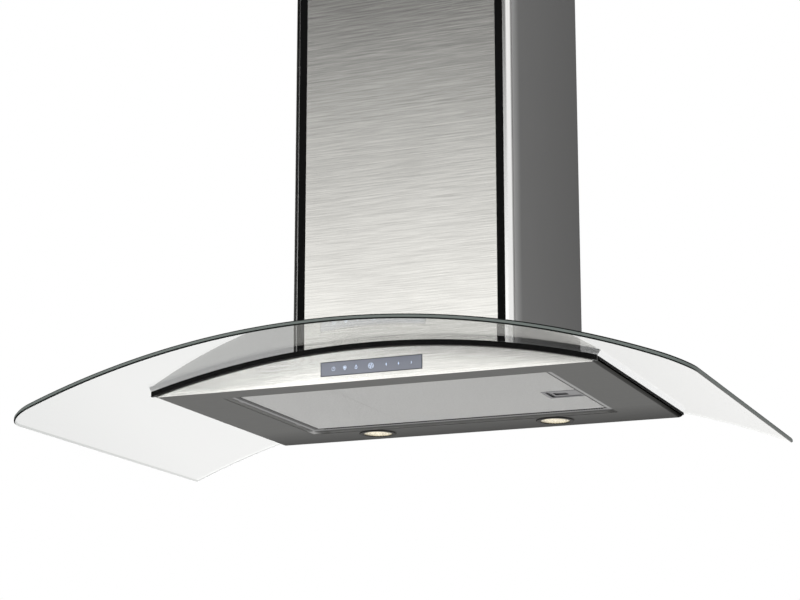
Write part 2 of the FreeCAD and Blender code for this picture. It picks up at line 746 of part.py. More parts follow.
def filter_cassette():
    """Aluminium frame with a groove that holds two mesh panels, and two tabs on the left."""
    outer = box("filter_outer", ("filter_width", "filter_depth", "filter_thickness"),
                (FRAME_LEFT, FRAME_FRONT, "filter_recess"))
    window = box("filter_window", ("filter_width - 2 * filter_border", "filter_depth - 2 * filter_border",
                                   "filter_thickness + 2"),
                 (FRAME_LEFT + " + filter_border", FRAME_FRONT + " + filter_border", "filter_recess - 1"))
    bite = "(filter_border - mesh_bite - touch_gap)"
    groove_low = "filter_recess + (filter_thickness - mesh_thickness) / 2 - touch_gap"
    groove = box("filter_groove", ("filter_width - 2 * " + bite, "filter_depth - 2 * " + bite,
                                   "mesh_thickness + 2 * touch_gap"),
                 (FRAME_LEFT + " + " + bite, FRAME_FRONT + " + " + bite, groove_low))
    passage = box("filter_tongue_way",
                  ("filter_border * 2", "latch_tongue_width + 2 * latch_end_play", WAY_HEIGHT),
                  (FRAME_LEFT + " + filter_width - filter_border - latch_base_wall",
                   "-latch_y - latch_tongue_width / 2 - latch_end_play", WAY_LOW))
    frame = cut("filter_ring", outer, window, groove, passage)
    tabs = [box("filter_tab_%d" % (side + 1), ("tab_length + 1", "tab_width", "tab_thickness"),
                (FRAME_LEFT + " - tab_length", "-filter_y + %d * tab_y - tab_width / 2" % side,
                 "filter_recess")) for side in (-1, 1)]
    node(fuse("filter_frame", frame, *tabs))

    mesh_bite_in = "(filter_border - mesh_bite)"
    mesh_low = "filter_recess + (filter_thickness - mesh_thickness) / 2"
    slab = box("mesh_slab", ("filter_width - 2 * " + mesh_bite_in, "filter_depth - 2 * " + mesh_bite_in,
                             "mesh_thickness"),
               (FRAME_LEFT + " + " + mesh_bite_in, FRAME_FRONT + " + " + mesh_bite_in, mesh_low))
    seam = box("mesh_seam_cut", ("mesh_seam", "filter_depth", "filter_thickness * 2"),
               ("-mesh_seam_x", FRAME_FRONT, "0"))
    pocket = box("mesh_latch_cut", ("latch_length + filter_border", "latch_width + 2 * touch_gap",
                                    "filter_thickness * 2"),
                 (LATCH_LEFT + " - touch_gap", LATCH_FRONT + " - touch_gap", "0"))
    node(cut("filter_mesh", slab, seam, pocket))


def filter_latch():
    """Sliding latch: a tray fixed in the cassette, a plate with a finger slot, a return spring."""
    left = LATCH_LEFT
    front = LATCH_FRONT
    low = "filter_recess + latch_inset"
    base = box("latch_base_block",
               ("latch_length - touch_gap", "latch_width", "filter_thickness - latch_inset"),
               (left, front, "filter_recess"))
    way = box("latch_base_way",
              ("latch_length + filter_border", "latch_width - 2 * latch_base_wall", WAY_HEIGHT),
              (left + " + latch_base_wall", front + " + latch_base_wall", WAY_LOW))
    mouth = box("latch_base_mouth",
                ("latch_length - 3 * latch_base_wall", "latch_width - 4 * latch_base_wall",
                 "2 * latch_inset"),
                (left + " + 2 * latch_base_wall", front + " + 2 * latch_base_wall",
                 "filter_recess - latch_inset"))
    room_half = "(spring_radius + spring_wire + 1.2)"
    room = box("latch_spring_room", ("spring_room", "2 * " + room_half, "filter_thickness"),
               (left + " + spring_x", "-latch_y + spring_offset - " + room_half,
                low + " + latch_thickness - touch_gap"))
    node(cut("latch_base", base, way, mouth, room))

    play = "(latch_travel + latch_end_play)"
    plate_left = left + " + latch_base_wall + " + play
    plate = box("latch_plate", ("latch_length - latch_base_wall - %s - 2 * latch_end_play" % play,
                                "latch_width - 2 * latch_base_wall - 2 * latch_side_play", "latch_thickness"),
                (plate_left, front + " + latch_base_wall + latch_side_play", low))
    tongue = box("latch_tongue",
                 ("filter_border + latch_lap + latch_tongue_reach", "latch_tongue_width", "latch_thickness"),
                 (left + " + latch_length - latch_lap", "-latch_y - latch_tongue_width / 2", low))
    grip = box("latch_grip", ("latch_slot_length", "latch_slot_width", "latch_thickness * 3"),
               (plate_left + " + latch_lap", "-latch_y - latch_slot_width / 2", low + " - latch_thickness"))
    peg_half = "(spring_radius + spring_wire)"
    peg = box("latch_peg", ("spring_peg", "2 * " + peg_half, "2 * " + peg_half),
              (left + " + spring_peg_x", "-latch_y + spring_offset - " + peg_half,
               low + " + latch_thickness"))
    node(fuse("filter_latch", cut("latch_plate_cut", fuse("latch_plate_whole", plate, tongue), grip), peg))
    latch_spring()


def latch_spring():
    """Wire spring between the end of its pocket and the peg of the sliding plate."""
    left = size("filter_x") + size("filter_width") / 2 - size("filter_border") - size("latch_length")
    gap = size("touch_gap")
    wire = size("spring_wire")
    radius = size("spring_radius")
    turns = int(size("spring_turns"))
    start = left + size("spring_x") + gap + wire
    rise = (size("spring_peg_x") - size("spring_x") - 2 * gap - 2 * wire) / turns
    middle_y = -size("latch_y") + size("spring_offset")
    middle_z = size("filter_recess") + size("latch_inset") + size("latch_thickness") + gap + wire + radius

    def on(quarter):
        turn = math.tau * quarter / 4
        return Vector(start + rise * quarter / 4, middle_y + radius * math.cos(turn),
                      middle_z + radius * math.sin(turn))

    arcs = [Part.Arc(on(2 * half), on(2 * half + 1), on(2 * half + 2)).toShape() for half in range(2 * turns)]
    along = arcs[0].tangentAt(arcs[0].FirstParameter)
    section = Part.Wire([Part.Circle(on(0), along, wire).toShape()])
    node(made_solid("latch_spring", Part.Wire(arcs).makePipeShell([section], True, False)))


# ---------------------------------------------------------------------------------------------
# Blower casing, wall plate and fan
# ---------------------------------------------------------------------------------------------
def collar_screw_places(height):
    """The four screws round the outlet, at a height."""
    for index in range(4):
        turn = math.radians(45 + 90 * index)
        circle = size("collar_screw_circle")
        yield Vector(circle * math.cos(turn), -size("duct_y") + circle * math.sin(turn), height)


def deck_screw_places():
    """Side, distance from the middle and distance from the wall of each screw in the casing's foot."""
    for side in (-1, 1):
        for at_y in (size("deck_screw_rear"), size("deck_screw_front")):
            yield side, size("deck_screw_x"), at_y


def blower_casing():
    """Sheet casing that stands on the deck through the notch of the glass, open at the rear."""
    half = "casing_width / 2"
    rear = "-plate_sheet - touch_gap"
    deck_top = "-gasket_height"
    block = box("casing_block", ("casing_width", "casing_depth", "casing_top"),
                ("-" + half, "-casing_depth", "0"))
    rear_cut = box("casing_rear", ("casing_width * 2", "casing_depth", "casing_top * 2"),
                   ("-casing_width", rear, "-glass_rise"))
    inside = box("casing_inside", ("casing_width - 2 * sheet", "casing_depth", "casing_top"),
                 ("-%s + sheet" % half, "-casing_depth + sheet", "-sheet"))
    outlet = rod("casing_outlet", "duct_radius - collar_wall - foot_play", "6 * sheet",
                 ("0", "-duct_y", "casing_top - 3 * sheet"))
    side_holes = [rod("casing_hole_" + level, "screw + touch_gap", "casing_width * 2",
                      ("-casing_width", "-tab_screw_y", level), "x") for level in ("tab_low_z", "tab_high_z")]
    lid = size("sheet")
    top_holes = [made_solid("casing_top_holes", Part.makeCompound(
        [Part.makeCylinder(size("screw") + size("touch_gap"), 4 * lid, spot)
         for spot in collar_screw_places(size("casing_top") - 2 * lid)]))]
    walls = cut("casing_walls", block, rear_cut, inside, outlet, arch("casing_foot_arch", deck_top),
                *(side_holes + top_holes))
    foot_ring = box("casing_foot_outer",
                    ("casing_width - 2 * foot_play", "casing_depth - plate_sheet - 2 * foot_play",
                     "glass_rise * 2"),
                    ("-%s + foot_play" % half, "-casing_depth + foot_play", "0"))
    foot_hole = box("casing_foot_inner",
                    ("air_width - 2 * foot_flange", "air_front - foot_flange", "glass_rise * 4"),
                    ("-air_width / 2 + foot_flange", "-air_front + foot_flange", "-glass_rise"))
    foot = cut("casing_foot", common("casing_foot_bent", layer("foot_layer", deck_top, deck_top + " + sheet"),
                                     foot_ring), foot_hole)
    foot_holes = made_solid("casing_foot_holes", Part.makeCompound(
        [radial_rod(side, at_x, at_y, size("screw") + size("touch_gap"), -2 * size("gasket_height"), 0.0)
         for side, at_x, at_y in deck_screw_places()]))
    node(cut("blower_casing", fuse("casing_with_foot", walls, foot), foot_holes))


def wall_plate():
    """Flat plate on the wall that closes the casing and hangs the hood on four screws."""
    low = "wall_screw_height - wall_screw_rise / 2"
    high = "wall_screw_height + wall_screw_rise / 2"
    half = "wall_screw_span / 2"
    plate = profile("wall_plate_sheet", "XZ_Plane", "0", "plate_sheet", [
        ("-plate_width / 2", "plate_foot"), ("plate_width / 2", "plate_foot"),
        ("plate_width / 2", "plate_top"), ("-plate_width / 2", "plate_top")], [
            ("-" + half, low, "wall_screw_hole"), (half, low, "wall_screw_hole"),
            ("-" + half, high, "wall_screw_hole"), (half, high, "wall_screw_hole")])
    tabs = []
    holes = []
    for side in (-1, 1):
        inner = "casing_width / 2 - sheet - touch_gap - plate_sheet"
        for level in ("tab_low_z", "tab_high_z"):
            mark = "%s_%d" % (level, side + 1)
            at_x = inner if side > 0 else "-(%s) - plate_sheet" % inner
            tabs.append(box("plate_" + mark, ("plate_sheet", "tab_reach + plate_sheet / 2", "tab_height"),
                            (at_x, "-plate_sheet / 2 - tab_reach", level + " - tab_height / 2")))
            holes.append(rod("plate_hole_" + mark, "screw + touch_gap", "plate_sheet * 3",
                             ("%d * (%s) - plate_sheet" % (side, inner), "-tab_screw_y", level), "x"))
    node(cut("wall_plate", fuse("plate_with_tabs", plate, *tabs), *holes))


def scroll_wire(inset):
    """The scroll's outline in the YZ plane: four quarter arcs that grow, and a straight outlet."""
    step = size("scroll_step")
    start = size("fan_radius") + size("scroll_clear") + inset
    middle_y = -size("fan_y")
    middle_z = size("fan_z")
    tongue = math.radians(size("tongue_angle"))

    def on(centre, radius, degrees):
        turn = math.radians(degrees)
        return Vector(0, centre[0] + radius * math.cos(turn), centre[1] + radius * math.sin(turn))

    first = (middle_y, middle_z)
    second = (middle_y - step, middle_z)
    third = (middle_y - step, middle_z + step)
    radii = (start, start + step, start + 2 * step)
    top = size("scroll_top")
    nose = on(first, start, math.degrees(tongue))
    arcs = [
        Part.Arc(nose, on(first, start, 60), on(first, start, 0)),
        Part.Arc(on(second, radii[1], 0), on(second, radii[1], -45), on(second, radii[1], -90)),
        Part.Arc(on(third, radii[2], -90), on(third, radii[2], -135), on(third, radii[2], -180)),
    ]
    front = on(third, radii[2], -180)
    lines = [
        Part.LineSegment(front, Vector(0, front.y, top)),
        Part.LineSegment(Vector(0, front.y, top), Vector(0, nose.y, top)),
        Part.LineSegment(Vector(0, nose.y, top), nose),
    ]
    return Part.Wire([item.toShape() for item in arcs + lines])


def scroll_block(inset, low, high):
    """The scroll's outline as a solid between two x positions."""
    face = Part.Face(scroll_wire(inset))
    face.translate(Vector(low, 0, 0))
    return face.extrude(Vector(high - low, 0, 0))


def scroll_half(side, word):
    """One half of the fan's scroll, with a rolled inlet in its side wall."""
    wall = size("scroll_wall")
    half = size("scroll_half_width")
    centre = Vector(0, -size("fan_y"), size("fan_z"))
    outer = scroll_block(wall, size("touch_gap") / 2, half)
    inner = scroll_block(0.0, -wall, half - wall)
    along = Vector(1, 0, 0)
    mouth = size("scroll_inlet")
    inlet = Part.makeCylinder(mouth, 3 * wall, centre + along * (half - 2 * wall), along)
    rim = Part.makeCylinder(mouth + wall, 3 * wall, centre + along * half, along)
    rim_hole = Part.makeCylinder(mouth, 9 * wall, centre + along * (half - 4 * wall), along)
    shape = outer.cut(inner).cut(inlet).fuse(rim.cut(rim_hole))
    above = scroll_block(0.0, -wall, half - wall)
    above.translate(Vector(0, 0, wall))
    deep = size("glass_depth")
    keep = Part.makeBox(half * 2, deep, size("scroll_top") - 2 * wall, Vector(-half, -deep, 0))
    above = above.cut(keep)
    shape = shape.cut(above)
    if side < 0:
        shape = shape.mirror(Vector(0, 0, 0), Vector(1, 0, 0))
    node(made_solid("scroll_half_" + word, shape))


def outlet_transition():
    """Lofted duct from the scroll's rectangular outlet to the round opening of the casing."""
    wall = size("scroll_wall")
    gap = size("touch_gap")
    low = size("scroll_top") + gap
    high = size("casing_top") - size("sheet") - gap
    wire = scroll_wire(wall)
    front = wire.BoundBox.YMin
    nose = min(vertex.Y for vertex in wire.Vertexes if abs(vertex.Z - size("scroll_top")) < 0.01
               and vertex.Y > front + 1)
    half = size("scroll_half_width")

    def duct(inset):
        corners = [Vector(-half + inset, front + inset, low), Vector(half - inset, front + inset, low),
                   Vector(half - inset, nose - inset, low), Vector(-half + inset, nose - inset, low)]
        square = Part.makePolygon(corners + corners[:1])
        radius = size("duct_radius") - size("collar_wall") - inset
        middle = Vector(0, -size("duct_y"), high)
        points = [middle + Vector(radius * math.cos(math.radians(a)), radius * math.sin(math.radians(a)), 0)
                  for a in (225, 270, 315, 0, 45, 90, 135, 180)]
        quarters = [Part.Arc(points[0], points[1], points[2]), Part.Arc(points[2], points[3], points[4]),
                    Part.Arc(points[4], points[5], points[6]), Part.Arc(points[6], points[7], points[0])]
        circle = Part.Wire([item.toShape() for item in quarters])
        return Part.makeLoft([square, circle], True, True)

    node(made_solid("outlet_transition", duct(0.0).cut(duct(wall))))


def impeller():
    """Double inlet fan: a hub disc between two rings and forward curved blades."""
    half = size("fan_half_width")
    outer = size("fan_radius")
    inner = size("fan_inner")
    ring = size("fan_ring")
    along = Vector(1, 0, 0)
    centre = Vector(0, -size("fan_y"), size("fan_z"))

    def disc(radius, low, high):
        return Part.makeCylinder(radius, high - low, centre + along * low, along)

    sheet_half = size("fan_disc") / 2
    root = size("blade_root")
    hub_length = size("fan_hub_length")
    wheel = disc(outer, -sheet_half, sheet_half)
    for low, high in ((-half, -half + ring), (half - ring, half)):
        wheel = wheel.fuse(disc(outer, low, high).cut(disc(inner, low - 1, high + 1)))
    wheel = wheel.fuse(disc(size("fan_hub_radius"), -sheet_half, hub_length))
    wheel = wheel.cut(disc(size("shaft") + size("shaft_fit"), -hub_length, 2 * hub_length))
    thick = size("blade_thickness")
    lead = math.radians(size("blade_lead_angle"))
    sweep = outer - inner
    middle = inner + sweep * 0.5

    def at(radius, turn):
        return Vector(0, radius * math.cos(turn), radius * math.sin(turn))

    inside = Part.Arc(at(inner + root, 0), at(middle, lead * 0.2), at(outer - root, lead))
    grow = thick / middle
    outside = Part.Arc(at(outer - root, lead + grow), at(middle, lead * 0.2 + grow), at(inner + root, grow))
    ends = [Part.LineSegment(inside.EndPoint, outside.StartPoint), Part.LineSegment(outside.EndPoint,
                                                                                  inside.StartPoint)]
    outline = Part.Wire([item.toShape() for item in (inside, ends[0], outside, ends[1])])
    blade = Part.Face(outline).extrude(Vector(2 * half - ring, 0, 0))
    blade.translate(centre + Vector(-half + ring / 2, 0, 0))
    count = int(size("fan_blades"))
    blades = []
    for index in range(count):
        turned_blade = blade.copy()
        turned_blade.rotate(centre, along, index * 360.0 / count)
        blades.append(turned_blade)
    node(made_solid("impeller", wheel.multiFuse(blades)))

    blind = size("shaft_blind") + size("shaft_end_play")
    shaft = disc(size("shaft"), -size("motor_nose") - size("motor_length") + blind, size("shaft_reach"))
    node(made_solid("motor_shaft", shaft))


def motor():
    """Motor in the left inlet: a body with end bells, bored for its shaft, and its spider."""
    centre = Vector(0, -size("fan_y"), size("fan_z"))
    along = Vector(1, 0, 0)
    nose = -size("motor_nose")
    back = nose - size("motor_length")
    radius = size("motor_radius")

    def disc(disc_radius, low, high):
        return Part.makeCylinder(disc_radius, high - low, centre + along * low, along)

    bell = size("motor_bell_length")
    bell_radius = radius - size("motor_bell_step")
    boss = size("motor_boss_length")
    body = disc(radius, back + bell, nose - bell)
    bells = [disc(bell_radius, back, back + bell), disc(bell_radius, nose - bell, nose),
             disc(size("motor_boss_radius"), nose, nose + boss)]
    bore = disc(size("shaft") + size("shaft_run"), back + size("shaft_blind"), nose + 2 * boss)
    node(made_solid("motor", body.multiFuse(bells).cut(bore)))

    side_wall = -size("scroll_half_width") - size("touch_gap")
    spider_high = side_wall - 3 * size("scroll_wall")
    spider_low = spider_high - size("spider_sheet")
    reach = size("spider_reach")
    arms = []
    ways = []
    for index in range(3):
        arm = Part.makeBox(size("spider_sheet"), reach, size("spider_arm"),
                           centre + Vector(spider_low, 0, -size("spider_arm") / 2))
        arm.rotate(centre, along, 90 + index * 120)
        foot = Part.makeCylinder(size("spider_foot"), side_wall - spider_low,
                                 centre + Vector(spider_low, reach, 0), along)
        foot.rotate(centre, along, 90 + index * 120)
        screw_way = Part.makeCylinder(size("screw") + size("touch_gap"), 2 * size("screw_length"),
                                      centre + Vector(spider_low - 1, reach, 0), along)
        screw_way.rotate(centre, along, 90 + index * 120)
        arms += [arm, foot]
        ways.append(screw_way)
    ring = disc(radius - size("spider_ring_step"), spider_low, spider_high)
    hub = disc(radius - size("spider_hub_step"), spider_high, back - size("touch_gap"))
    spider = ring.multiFuse(arms + [hub])
    node(made_solid("motor_spider", spider.cut(Part.makeCompound(ways))))


# ---------------------------------------------------------------------------------------------
# Outlet collar and non-return dampers
# ---------------------------------------------------------------------------------------------
def outlet_collar():
    """Round spigot with a flange, a seat for the flaps and the cross pin that they turn on."""
    base = size("casing_top") + size("touch_gap")
    at_y = size("duct_y")
    radius = size("duct_radius")
    inner = radius - size("collar_wall")
    flange = size("collar_flange_sheet")
    pin_z = size("casing_top") + size("damper_height")
    seat = pin_z - size("damper_sheet") - size("damper_gap") - size("seat_play")
    seat_inner = inner - size("seat_width")
    seat_low = seat - size("seat_height")
    shape = turned([(inner, base), (size("collar_flange"), base), (size("collar_flange"), base + flange),
                    (radius, base + flange), (radius, base + size("collar_height")),
                    (inner, base + size("collar_height")), (inner, seat), (seat_inner, seat),
                    (seat_inner, seat_low), (inner, seat_low)], 0.0, at_y)
    along = Vector(1, 0, 0)
    pin = size("damper_pin")
    pin_hole = Part.makeCylinder(pin, 4 * radius, Vector(-2 * radius, -at_y, pin_z), along)
    shape = shape.cut(pin_hole)
    for spot in collar_screw_places(base - 1):
        shape = shape.cut(Part.makeCylinder(size("screw") + 2 * size("touch_gap"), flange + 2, spot))
    node(made_solid("outlet_collar", shape))
    short = size("pin_short")
    node(made_solid("damper_pin", Part.makeCylinder(pin - size("pin_fit"), 2 * (radius - short),
                                                    Vector(short - radius, -at_y, pin_z), along)))


def damper_flap(side, word):
    """Half round flap with two knuckles on the cross pin; side is -1 for the front one."""
    pin_z = size("casing_top") + size("damper_height")
    at_y = -size("duct_y")
    knuckle = size("damper_knuckle")
    gap = size("damper_gap")
    thick = size("damper_sheet")
    web_depth = knuckle + size("knuckle_web")
    clear = knuckle + 3 * size("touch_gap")
    radius = size("duct_radius") - size("collar_wall") - size("flap_play")
    low = pin_z - gap - thick
    plate = Part.makeCylinder(radius, thick, Vector(0, at_y, low))
    keep = Part.makeBox(4 * radius, 2 * radius, 4 * thick, Vector(-2 * radius, at_y + clear, low - thick))
    if side < 0:
        keep = Part.makeBox(4 * radius, 2 * radius, 4 * thick,
                            Vector(-2 * radius, at_y - clear - 2 * radius, low - thick))
    shape = plate.common(keep)
    length = size("knuckle_length")
    shift = 0.0 if side < 0 else size("knuckle_shift")
    for start in (-size("knuckle_left_x") + shift, size("knuckle_right_x") + shift):
        eye = Part.makeCylinder(knuckle, length, Vector(start, at_y, pin_z), Vector(1, 0, 0))
        web_front = at_y if side > 0 else at_y - web_depth
        web = Part.makeBox(length, web_depth, thick, Vector(start, web_front, low))
        shape = shape.fuse(eye.fuse(web))
    bore = Part.makeCylinder(size("damper_pin") + size("pin_play"), 3 * radius,
                             Vector(-1.5 * radius, at_y, pin_z), Vector(1, 0, 0))
    node(made_solid("damper_flap_" + word, shape.cut(bore)))


# ---------------------------------------------------------------------------------------------
# Chimney covers
# ---------------------------------------------------------------------------------------------
COVER_FOOT = "glass_thickness + 3 * touch_gap"


def cover_piece(name, outline):
    """An upright piece of the lower cover, cut to the bent glass at its foot."""
    plan = profile(name + "_plan", "XY_Plane", "0", "chimney_top", outline)
    return cut(name, plan, arch(name + "_foot", COVER_FOOT))


def chimney_face():
    """Brushed plate of the lower cover."""
    half = "face_width / 2"
    front = "-chimney_front"
    rear = "-chimney_front + chimney_sheet"
    node(cover_piece("chimney_face", [("-" + half, front), (half, front), (half, rear), ("-" + half, rear)]))


def corner_strip():
    """Black profile between the face and the corner, lapping behind both."""
    inner = "face_width / 2 + touch_gap"
    outer = "chimney_width / 2 - chimney_corner - touch_gap"
    front = "-chimney_front + strip_recess"
    shelf = "-chimney_front + chimney_sheet + touch_gap"
    rear = "-chimney_front + chimney_sheet + touch_gap + strip_back"
    inside = "(chimney_corner - chimney_sheet)"
    lap = "strip_lap / 2"
    behind_corner = shelf + " + %s - sqrt(%s ^ 2 - (%s) ^ 2)" % (inside, inside, lap)
    right = cover_piece("chimney_strip_right", [
        (inner, front), (outer, front), (outer, behind_corner), (outer + " + " + lap, behind_corner),
        (outer + " + " + lap, rear), (inner + " - strip_lap", rear), (inner + " - strip_lap", shelf),
        (inner, shelf)])
    node_pair("chimney_strip", right)


def corner_profile():
    """Bright rounded corner of the lower cover."""
    radius = size("chimney_corner")
    thick = size("chimney_sheet")
    right_x = size("chimney_width") / 2
    front_y = -size("chimney_front")
    centre = Vector(right_x - radius, front_y + radius, 0)
    tail = front_y + radius + size("corner_tail")

    def on(reach, degrees):
        turn = math.radians(degrees)
        return centre + Vector(reach * math.cos(turn), reach * math.sin(turn), 0)

    start_x = right_x - radius
    outside = Part.Arc(on(radius, -90), on(radius, -45), on(radius, 0))
    inside = Part.Arc(on(radius - thick, 0), on(radius - thick, -45), on(radius - thick, -90))
    outline = Part.Wire([item.toShape() for item in (
        outside,
        Part.LineSegment(on(radius, 0), Vector(right_x, tail, 0)),
        Part.LineSegment(Vector(right_x, tail, 0), Vector(right_x - thick, tail, 0)),
        Part.LineSegment(Vector(right_x - thick, tail, 0), on(radius - thick, 0)),
        inside,
        Part.LineSegment(on(radius - thick, -90), Vector(start_x, front_y, 0)))])
    column = Part.Face(outline).extrude(Vector(0, 0, size("chimney_top")))
    solid = made_solid("corner_column", column)
    right = cut("chimney_corner_right", solid, arch("corner_foot", COVER_FOOT))
    node_pair("chimney_corner", right)


def side_panel():
    """Side of the lower cover: a joggle laps behind the corner and a flange lies at the wall."""
    outer = "chimney_width / 2"
    front = "-chimney_front + chimney_corner + corner_tail + seam_gap"
    inner = "chimney_width / 2 - chimney_sheet"
    step = "chimney_width / 2 - 2 * chimney_sheet - touch_gap"
    right = cover_piece("chimney_side_right", [
        (outer, front), (outer, "-touch_gap"), (outer + " - rear_flange", "-touch_gap"),
        (outer + " - rear_flange", "-touch_gap - chimney_sheet"), (inner, "-touch_gap - chimney_sheet"),
        (inner, front + " + side_joggle"), (step, front + " + side_joggle"),
        (step, front + " - seam_gap - corner_tail"),
        (inner + " - touch_gap", front + " - seam_gap - corner_tail"), (inner + " - touch_gap", front)])
    node_pair("chimney_side", right)


UPPER_HALF = "(chimney_width / 2 - 2 * chimney_sheet - touch_gap - slide_gap)"
UPPER_FRONT = "(chimney_front - chimney_sheet - touch_gap - strip_back - slide_gap)"
UPPER_FOOT = "glass_rise + glass_thickness + 4 * touch_gap"


def upper_cover():
    """Folded inner cover that slides up out of the lower one, with flanges at the wall."""
    half = UPPER_HALF
    front = "-" + UPPER_FRONT
    wall = "upper_sheet"
    rear = "-touch_gap - chimney_sheet - slide_gap"
    tall = "chimney_top - upper_drop - (%s)" % UPPER_FOOT
    plan = profile("upper_cover_plan", "XY_Plane", UPPER_FOOT, tall, [
        ("-" + half, front), (half, front), (half, rear), (half + " - upper_flange", rear),
        (half + " - upper_flange", rear + " - " + wall), (half + " - " + wall, rear + " - " + wall),
        (half + " - " + wall, front + " + " + wall), ("-" + half + " + " + wall, front + " + " + wall),
        ("-" + half + " + " + wall, rear + " - " + wall),
        ("-" + half + " + upper_flange", rear + " - " + wall),
        ("-" + half + " + upper_flange", rear), ("-" + half, rear)])
    outer_x = size("chimney_width") / 2 - 2 * size("chimney_sheet") - size("touch_gap") - size("slide_gap")
    front_y = plan.Shape.BoundBox.YMin
    rounded(plan, "chimney_corner - 2", lambda edge, middle: upright(edge) and abs(middle.y - front_y) < 0.01
            and abs(abs(middle.x) - outer_x) < 0.01)
    inner_y = front_y + size("upper_sheet")
    rounded(plan, "chimney_corner - 2 - upper_sheet",
            lambda edge, middle: upright(edge) and abs(middle.y - inner_y) < 0.01)
    level = "chimney_top - upper_drop - bracket_drop - bracket_height / 2"
    at_y = "-touch_gap - chimney_sheet - slide_gap - upper_sheet - touch_gap - bracket_ear / 2"
    screw_way = rod("upper_screw_way", "screw + touch_gap", "2 * chimney_width",
                    ("-chimney_width", at_y, level), "x")
    node(cut("upper_cover", plan, screw_way))


def top_bracket():
    """Bracket at the top of the upper cover: a strip for two wall screws and two side ears."""
    half = "(%s - upper_sheet - touch_gap)" % UPPER_HALF
    rear = "(-touch_gap - chimney_sheet - slide_gap - upper_sheet - touch_gap)"
    low = "(chimney_top - upper_drop - bracket_height - bracket_drop)"
    strip = box("bracket_strip", ("2 * " + half, "bracket_sheet", "bracket_height"),
                ("-" + half, rear + " - bracket_sheet", low))
    ears = [box("bracket_ear_%d" % (side + 1), ("bracket_sheet", "bracket_ear", "bracket_height"),
                (half + " - bracket_sheet" if side > 0 else "-" + half, rear + " - bracket_ear", low))
            for side in (-1, 1)]
    middle = low + " + bracket_height / 2"
    holes = [rod("bracket_hole_%d" % (side + 1), "bracket_hole", "bracket_sheet * 6",
                 ("%d * bracket_hole_span / 2" % side, rear + " + bracket_sheet * 2", middle), "-y")
             for side in (-1, 1)]
    screw_way = rod("bracket_screw_way", "screw + touch_gap", "2 * chimney_width",
                    ("-chimney_width", rear + " - bracket_ear / 2", middle), "x")
    node(cut("top_bracket", fuse("bracket_bent", strip, *ears), *(holes + [screw_way])))


# ---------------------------------------------------------------------------------------------
# Electrical boxes
# ---------------------------------------------------------------------------------------------
def electrics():
    """Terminal box with its cable gland on the right of the casing, run capacitor on the left."""
    side = "casing_width / 2 + touch_gap"
    shell = box("terminal_shell", ("terminal_reach", "terminal_depth", "terminal_height"),
                (side, "-terminal_y - terminal_depth / 2", "terminal_foot"))
    lid_groove = box("terminal_lid_groove", ("terminal_groove", "terminal_depth * 2", "terminal_groove"),
                     (side + " + terminal_reach * 0.85", "-terminal_y - terminal_depth",
                      "terminal_foot + terminal_height - terminal_groove"))
    top = "terminal_foot + terminal_height"
    hole = rod("terminal_hole", "gland_bore * 1.25", "terminal_wall * 2",
               (side + " + terminal_reach / 2", "-terminal_y", top + " - terminal_wall"))
    node(cut("terminal_box", shell, lid_groove, hole))
    middle = (side + " + terminal_reach / 2", "-terminal_y", top + " + touch_gap")
    nut = rod("gland_nut", "gland_radius", "gland_height * 0.4", middle)
    neck = rod("gland_neck", "gland_radius * 0.8", "gland_height", middle)
    bore = rod("gland_bore_cut", "gland_bore", "gland_height * 3",
               (middle[0], middle[1], middle[2] + " - gland_height"))
    node(cut("cable_gland", fuse("gland_whole", nut, neck), bore))
    can_x = "-casing_width / 2 - touch_gap - clip_sheet - clip_stand - capacitor_radius"
    can_foot = (can_x, "-capacitor_y", "capacitor_foot")
    can = rod("capacitor_can", "capacitor_radius", "capacitor_height", can_foot)
    stud = rod("capacitor_stud", "capacitor_radius * 0.45", "capacitor_height + stud_height", can_foot)
    node(fuse("capacitor", can, stud))
    clip_low = "capacitor_foot + capacitor_height / 2"
    band = rod("clip_band", "capacitor_radius + 2 * touch_gap + clip_sheet", "clip_height",
               (can_x, "-capacitor_y", clip_low))
    wings = box("clip_wings", ("clip_sheet", "2 * clip_reach", "clip_height"),
                ("-casing_width / 2 - touch_gap - clip_sheet", "-capacitor_y - clip_reach", clip_low))
    bore = rod("clip_bore", "capacitor_radius + 2 * touch_gap", "clip_height * 3",
               (can_x, "-capacitor_y", clip_low + " - clip_height"))
    node(cut("capacitor_clip", fuse("clip_whole", band, wings), bore))


